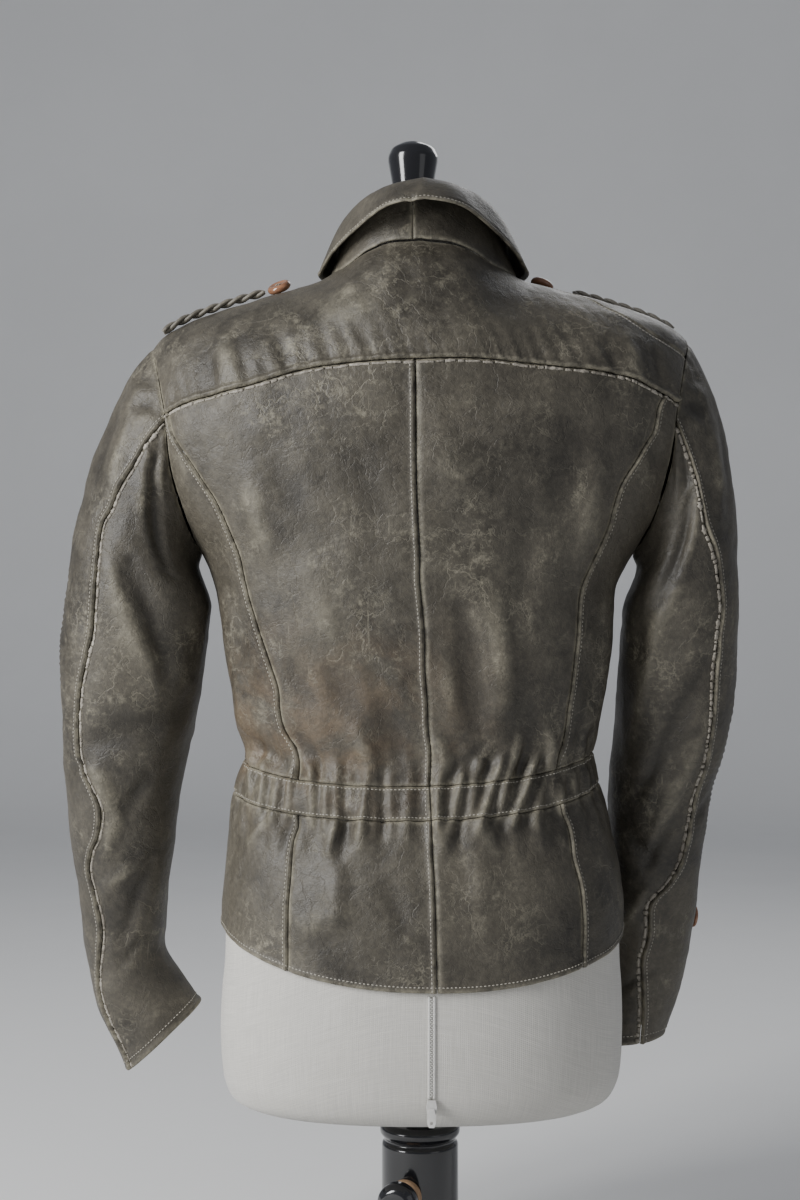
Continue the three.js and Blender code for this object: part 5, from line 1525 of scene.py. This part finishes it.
def leather_group():
    """Old leather: mottled hide with rubbed places, tan patches and grain, and painted shade in the
    hollows of the relief.
    """
    group = bpy.data.node_groups.get("Worn hide")
    if group:
        return group
    group = bpy.data.node_groups.new("Worn hide", "ShaderNodeTree")
    start, end = group_sockets(group, [
        ("Deep", "NodeSocketColor", (0.03, 0.027, 0.022, 1)),
        ("Hide", "NodeSocketColor", (0.1, 0.09, 0.07, 1)),
        ("Rubbed", "NodeSocketColor", (0.25, 0.23, 0.19, 1)),
        ("Tan", "NodeSocketColor", (0.2, 0.13, 0.08, 1)),
        ("Rubbing", "NodeSocketFloat", 1.0),
        ("Relief wear and shade", "NodeSocketFloat", 0.0),
        ("Edge", "NodeSocketFloat", 0.0),
    ], [("Color", "NodeSocketColor"), ("Roughness", "NodeSocketFloat"), ("Height", "NodeSocketFloat")])
    place = linked(group, "ShaderNodeTexCoord").outputs["Object"]
    clouds = noise(group, place, 9, 5, 0.6, 0.4)
    mottle = noise(group, place, 38, 8, 0.7, 0.3)
    fleck = noise(group, place, 240, 4, 0.7)
    veins = fine_cracks(group, place)
    base = blend_colours(group, spread(group, clouds, 0.32, 0.68), start.outputs["Deep"],
                         start.outputs["Hide"])
    base = blend_colours(group, combined(group, "MULTIPLY", spread(group, mottle, 0.4, 0.66), 0.7),
                         base, start.outputs["Hide"])
    base = blend_colours(group, combined(group, "MULTIPLY", tan_patches(group, place), 0.75), base,
                         start.outputs["Tan"])
    rub = rubbed_places(group, place, start, mottle, veins)
    colour = blend_colours(group, rub, base, start.outputs["Rubbed"])
    # Painted shade: the hollows of the relief darken towards the deep colour.
    painted_hollow_shade = spread(group, start.outputs["Relief wear and shade"], -0.1, -0.9, 0.0, 0.6)
    colour = blend_colours(group, painted_hollow_shade, colour, start.outputs["Deep"])
    shade = blend_colours(group, spread(group, fleck, 0.3, 0.7), (0.78, 0.78, 0.78, 1),
                          (1.12, 1.12, 1.1, 1))
    colour = blend_colours(group, 1.0, colour, shade, "MULTIPLY")
    rough = combined(group, "ADD", combined(group, "MULTIPLY", rub, 0.14),
                     spread(group, mottle, 0.3, 0.7, 0.40, 0.54))
    group.links.new(colour, end.inputs["Color"])
    group.links.new(rough, end.inputs["Roughness"])
    group.links.new(leather_grain(group, place, mottle, veins), end.inputs["Height"])
    return group


def hide_material(name, deep, hide, rubbed, tan, rubbing, bump):
    """Material of old leather with the shared group and its own colours."""
    material = bpy.data.materials.get(name)
    if material:
        return material
    material = bpy.data.materials.new(name)
    tree, shader = node_tree(material)
    worn = tree.nodes.new("ShaderNodeGroup")
    worn.node_tree = leather_group()
    for key, value in (("Deep", deep), ("Hide", hide), ("Rubbed", rubbed), ("Tan", tan)):
        worn.inputs[key].default_value = (*value, 1)
    worn.inputs["Rubbing"].default_value = rubbing
    # The relief's height gives rubbing on the ridges and painted shade in the hollows.
    for key, attribute in (("Relief wear and shade", "wear"), ("Edge", "edge")):
        source = linked(tree, "ShaderNodeAttribute", attribute_name=attribute)
        tree.links.new(source.outputs["Fac"], worn.inputs[key])
    tree.links.new(worn.outputs["Color"], shader.inputs["Base Color"])
    tree.links.new(worn.outputs["Roughness"], shader.inputs["Roughness"])
    shader.inputs["Specular IOR Level"].default_value = 0.42
    raised = linked(tree, "ShaderNodeBump", {"Height": worn.outputs["Height"], "Strength": 0.7,
                                             "Distance": bump * MM})
    tree.links.new(raised.outputs["Normal"], shader.inputs["Normal"])
    return material


def leather_material():
    jacket = bpy.context.scene.jacket
    return hide_material("Worn olive-brown leather", jacket.deep, jacket.hide, jacket.rubbed,
                         jacket.tan, jacket.rubbing, 0.9)


def raw_material():
    jacket = bpy.context.scene.jacket
    return hide_material("Raw leather edge", (0.16, 0.14, 0.115), (0.36, 0.33, 0.28), jacket.raw,
                         (0.36, 0.33, 0.28), 1.3, 0.6)


def lace_material():
    return hide_material("Plaited lace leather", (0.09, 0.082, 0.066), (0.22, 0.2, 0.165),
                         (0.38, 0.35, 0.29), (0.22, 0.2, 0.165), 1.0, 0.5)


def plain_material(name, colour, rough, noise_scale, shade, bump=0.0, stretch=(1, 1, 1), coat=0.0):
    """Material with soft noise in its colour, its gloss and its bump."""
    material = bpy.data.materials.get(name)
    if material:
        return material
    material = bpy.data.materials.new(name)
    tree, shader = node_tree(material)
    place = linked(tree, "ShaderNodeTexCoord").outputs["Object"]
    placed = linked(tree, "ShaderNodeMapping", {"Vector": place, "Scale": stretch}).outputs["Vector"]
    cloud = noise(tree, placed, noise_scale, 5, 0.6)
    dark = tuple(value * shade for value in colour)
    tree.links.new(blend_colours(tree, spread(tree, cloud, 0.3, 0.7), (*dark, 1), (*colour, 1)),
                   shader.inputs["Base Color"])
    tree.links.new(spread(tree, cloud, 0.3, 0.7, rough * 1.15, rough * 0.85), shader.inputs["Roughness"])
    if bump:
        raised = linked(tree, "ShaderNodeBump", {"Height": cloud, "Strength": 0.5, "Distance": bump * MM})
        tree.links.new(raised.outputs["Normal"], shader.inputs["Normal"])
    if coat:
        shader.inputs["Coat Weight"].default_value = coat
        shader.inputs["Coat Roughness"].default_value = 0.06
    return material


def thread_material():
    return plain_material("Cream thread", (0.5, 0.47, 0.4), 0.7, 900, 0.6, 0.1)


def button_material():
    return plain_material("Polished brown wood", (0.36, 0.17, 0.09), 0.24, 60, 0.55, 0.0, (1, 1, 6), 0.4)


def lacquer_material():
    return plain_material("Black lacquer", (0.012, 0.012, 0.014), 0.16, 30, 0.7, 0.0, (1, 1, 0.3), 0.6)


def iron_material():
    return plain_material("Black painted iron", (0.02, 0.02, 0.022), 0.36, 260, 0.6, 0.15)


def wood_material():
    return plain_material("Bare wood", (0.52, 0.33, 0.19), 0.6, 55, 0.6, 0.25, (9, 9, 1))


def tape_material():
    return plain_material("White zip tape", (0.72, 0.71, 0.67), 0.75, 1100, 0.75, 0.15)


def enamel_material():
    return plain_material("White enamelled metal", (0.66, 0.65, 0.62), 0.3, 140, 0.85, 0.0)


def linen_material():
    """Plain-weave linen on the form's own map, with uneven threads."""
    material = bpy.data.materials.get("Natural linen")
    if material:
        return material
    material = bpy.data.materials.new("Natural linen")
    tree, shader = node_tree(material)
    shader.inputs["Sheen Weight"].default_value = 0.25
    shader.inputs["Sheen Roughness"].default_value = 0.5
    colours = bpy.context.scene.stand_finish
    flat = linked(tree, "ShaderNodeTexCoord").outputs["UV"]
    height, slub = None, None
    for direction, stretch in (("X", (1, 0.03, 1)), ("Y", (0.03, 1, 1))):
        wave = linked(tree, "ShaderNodeTexWave", {
            "Vector": flat, "Scale": 190.0, "Distortion": 0.8, "Detail": 2.0, "Detail Scale": 0.6},
            wave_type="BANDS", bands_direction=direction, wave_profile="SIN").outputs["Fac"]
        streaks = linked(tree, "ShaderNodeMapping", {"Vector": flat, "Scale": stretch}).outputs["Vector"]
        streak = noise(tree, streaks, 900, 3, 0.6)
        thread = combined(tree, "MULTIPLY", wave, spread(tree, streak, 0.2, 0.8, 0.5, 1.0))
        height = thread if height is None else combined(tree, "MAXIMUM", height, thread)
        slub = streak if slub is None else combined(tree, "ADD", slub, streak)
    tone = combined(tree, "ADD", combined(tree, "MULTIPLY", height, 0.45),
                  spread(tree, slub, 0.7, 1.3, 0.0, 0.55))
    soft = noise(tree, linked(tree, "ShaderNodeTexCoord").outputs["Object"], 14, 3, 0.5)
    cloth = blend_colours(tree, tone, (*[v * 0.74 for v in colours.linen], 1), (*colours.linen, 1))
    cloth = blend_colours(tree, spread(tree, soft, 0.35, 0.75, 0.0, 0.22), cloth,
                          (*[v * 0.8 for v in colours.linen], 1))
    tree.links.new(cloth, shader.inputs["Base Color"])
    tree.links.new(spread(tree, tone, 0.2, 0.9, 0.92, 0.78), shader.inputs["Roughness"])
    raised = linked(tree, "ShaderNodeBump", {"Height": height, "Strength": 0.5, "Distance": 0.3 * MM})
    tree.links.new(raised.outputs["Normal"], shader.inputs["Normal"])
    return material


def make_camera():
    camera = bpy.data.objects.new("Camera", bpy.data.cameras.new("Camera"))
    bpy.context.scene.collection.objects.link(camera)
    camera.data.lens = CAMERA_LENS
    camera.data.sensor_width = 36
    camera.data.sensor_fit = "AUTO"
    camera.location = CAMERA_PLACE
    camera.rotation_euler = (math.pi / 2, 0, 0)
    bpy.context.scene.camera = camera


def make_floor():
    """Pale floor that bends up into a plain backdrop."""
    bm = bmesh.new()
    bmesh.ops.create_grid(bm, x_segments=8, y_segments=64, size=1)
    flat = FLOOR_HALF + BACKDROP_FROM
    bend = BACKDROP_BEND * math.pi / 2
    total = flat + bend + BACKDROP_HEIGHT
    for vert in bm.verts:
        run = (vert.co.y + 1) / 2 * total
        turn = min(max((run - flat) / BACKDROP_BEND, 0), math.pi / 2)
        vert.co.x *= FLOOR_HALF
        vert.co.y = min(run, flat) - FLOOR_HALF + BACKDROP_BEND * math.sin(turn)
        vert.co.z = BACKDROP_BEND * (1 - math.cos(turn)) + max(run - flat - bend, 0)
    for face in bm.faces:
        face.smooth = True
    mesh = bpy.data.meshes.new("studio_floor")
    bm.to_mesh(mesh)
    bm.free()
    floor = bpy.data.objects.new("studio_floor", mesh)
    bpy.context.scene.collection.objects.link(floor)
    stage = bpy.context.scene.stage_look
    mesh.materials.append(plain_material("Pale paper", tuple(stage.floor), 0.9, 2, 0.97))


def make_lights():
    """Blue-grey world, and key, fill and rim lights."""
    stage = bpy.context.scene.stage_look
    world = bpy.data.worlds.new("Studio")
    bpy.context.scene.world = world
    world.use_nodes = True
    back = world.node_tree.nodes["Background"]
    back.inputs["Color"].default_value = (0.86, 0.9, 1.0, 1)
    back.inputs["Strength"].default_value = stage.ambient
    for (name, place, aim, size), power in zip(LIGHTS, (stage.key, stage.fill, stage.rim)):
        light = bpy.data.objects.new(name, bpy.data.lights.new(name, "AREA"))
        bpy.context.scene.collection.objects.link(light)
        light.data.energy = power
        light.data.shape = "RECTANGLE"
        light.data.size, light.data.size_y = size
        light.location = place
        way = Vector(aim) - Vector(place)
        light.rotation_euler = way.to_track_quat("-Z", "Y").to_euler()


class JacketLook(bpy.types.PropertyGroup):
    # Dark patches of the hide; the painted shade in the hollows of the relief uses this colour too.
    deep: FloatVectorProperty(name="Deep colour", description="Leather in hollows", subtype="COLOR",
                              default=(0.032, 0.028, 0.022), min=0, max=1)
    hide: FloatVectorProperty(name="Hide colour", description="Leather on plain stretches",
                              subtype="COLOR", default=(0.098, 0.087, 0.067), min=0, max=1)
    rubbed: FloatVectorProperty(name="Rubbed colour", description="Leather on worn ridges and edges",
                                subtype="COLOR", default=(0.29, 0.265, 0.20), min=0, max=1)
    tan: FloatVectorProperty(name="Tan colour", description="Warm patches near the waist",
                             subtype="COLOR", default=(0.135, 0.095, 0.058), min=0, max=1)
    raw: FloatVectorProperty(name="Raw edge colour", description="Bare cut edges", subtype="COLOR",
                             default=(0.62, 0.58, 0.50), min=0, max=1)
    rubbing: FloatProperty(name="Rubbing", description="Strength of the wear", default=1.0,
                           min=0, max=2, subtype="FACTOR")


class StandFinish(bpy.types.PropertyGroup):
    linen: FloatVectorProperty(name="Linen colour", description="Cover of the dress form",
                               subtype="COLOR", default=(0.66, 0.64, 0.59), min=0, max=1)


class StageLook(bpy.types.PropertyGroup):
    floor: FloatVectorProperty(name="Floor colour", description="Paper floor and backdrop",
                               subtype="COLOR", default=(0.86, 0.86, 0.85), min=0, max=1)
    key: FloatProperty(name="Key light", description="Power of the large soft light", default=84,
                       min=0, subtype="POWER", unit="POWER")
    fill: FloatProperty(name="Fill light", description="Power of the light from the right",
                        default=3, min=0, subtype="POWER", unit="POWER")
    rim: FloatProperty(name="Rim light", description="Power of the light from the far side",
                       default=9, min=0, subtype="POWER", unit="POWER")
    ambient: FloatProperty(name="Ambient", description="Strength of the world's light", default=0.24,
                           min=0, max=2)


class MakeBack(bpy.types.Operator):
    """Lay the four back panels between the waistband and the yoke"""
    bl_idname = "jacket.back_panels"
    bl_label = "Back panels"

    def execute(self, context):
        make_back_panels()
        return {"FINISHED"}


class MakeYoke(bpy.types.Operator):
    """Lay the yoke over the shoulders"""
    bl_idname = "jacket.yoke"
    bl_label = "Yoke"

    def execute(self, context):
        make_yoke()
        return {"FINISHED"}


class MakeBand(bpy.types.Operator):
    """Gather the back of the waistband"""
    bl_idname = "jacket.waistband"
    bl_label = "Waistband"

    def execute(self, context):
        make_back_band()
        return {"FINISHED"}


class MakeSkirt(bpy.types.Operator):
    """Hang the skirt panels below the waistband"""
    bl_idname = "jacket.skirt"
    bl_label = "Skirt panels"

    def execute(self, context):
        make_skirt()
        return {"FINISHED"}


class MakeFronts(bpy.types.Operator):
    """Lay the fronts, with their band and skirt"""
    bl_idname = "jacket.fronts"
    bl_label = "Fronts"

    def execute(self, context):
        make_fronts()
        return {"FINISHED"}


class MakeSleeves(bpy.types.Operator):
    """Hang both sleeves"""
    bl_idname = "jacket.sleeves"
    bl_label = "Sleeves"

    def execute(self, context):
        make_sleeves()
        return {"FINISHED"}


class MakeCollar(bpy.types.Operator):
    """Fold the collar over its stand"""
    bl_idname = "jacket.collar"
    bl_label = "Collar"

    def execute(self, context):
        make_collar()
        return {"FINISHED"}


class MakeTrim(bpy.types.Operator):
    """Sew the seams, fray the raw edges, and add laces and buttons"""
    bl_idname = "jacket.trim"
    bl_label = "Stitches, raw edges, laces and buttons"

    def execute(self, context):
        make_stitches()
        make_raw_edges()
        make_braids()
        make_buttons()
        return {"FINISHED"}


class MakeForm(bpy.types.Operator):
    """Cover the dress form with linen and close its zip"""
    bl_idname = "jacket.dress_form"
    bl_label = "Dress form"

    def execute(self, context):
        make_form()
        make_zip()
        return {"FINISHED"}


class MakeStand(bpy.types.Operator):
    """Turn the column, pole, base and clamp"""
    bl_idname = "jacket.stand"
    bl_label = "Stand"

    def execute(self, context):
        make_stand()
        make_clamp()
        return {"FINISHED"}


class MakeStage(bpy.types.Operator):
    """Set the camera, the floor and the lights"""
    bl_idname = "jacket.stage"
    bl_label = "Stage"

    def execute(self, context):
        make_camera()
        make_floor()
        make_lights()
        return {"FINISHED"}


OPERATORS = (MakeStage, MakeForm, MakeStand, MakeBack, MakeYoke, MakeBand, MakeSkirt, MakeFronts,
             MakeSleeves, MakeCollar, MakeTrim)


class JacketPanel(bpy.types.Panel):
    """List of the pieces that can be made"""
    bl_idname = "VIEW3D_PT_jacket"
    bl_label = "Jacket"
    bl_space_type = "VIEW_3D"
    bl_region_type = "UI"
    bl_category = "Jacket"

    def draw(self, context):
        for operator in OPERATORS:
            self.layout.operator(operator.bl_idname)


CLASSES = (JacketLook, StandFinish, StageLook, *OPERATORS, JacketPanel)


def register():
    for kind in CLASSES:
        bpy.utils.register_class(kind)
    bpy.types.Scene.jacket = PointerProperty(type=JacketLook)
    bpy.types.Scene.stand_finish = PointerProperty(type=StandFinish)
    bpy.types.Scene.stage_look = PointerProperty(type=StageLook)


def unregister():
    for name in ("jacket", "stand_finish", "stage_look"):
        delattr(bpy.types.Scene, name)
    for kind in reversed(CLASSES):
        bpy.utils.unregister_class(kind)


def main():
    register()
    for operator in OPERATORS:
        group, name = operator.bl_idname.split(".")
        getattr(getattr(bpy.ops, group), name)()


if __name__ == "__main__":
    main()
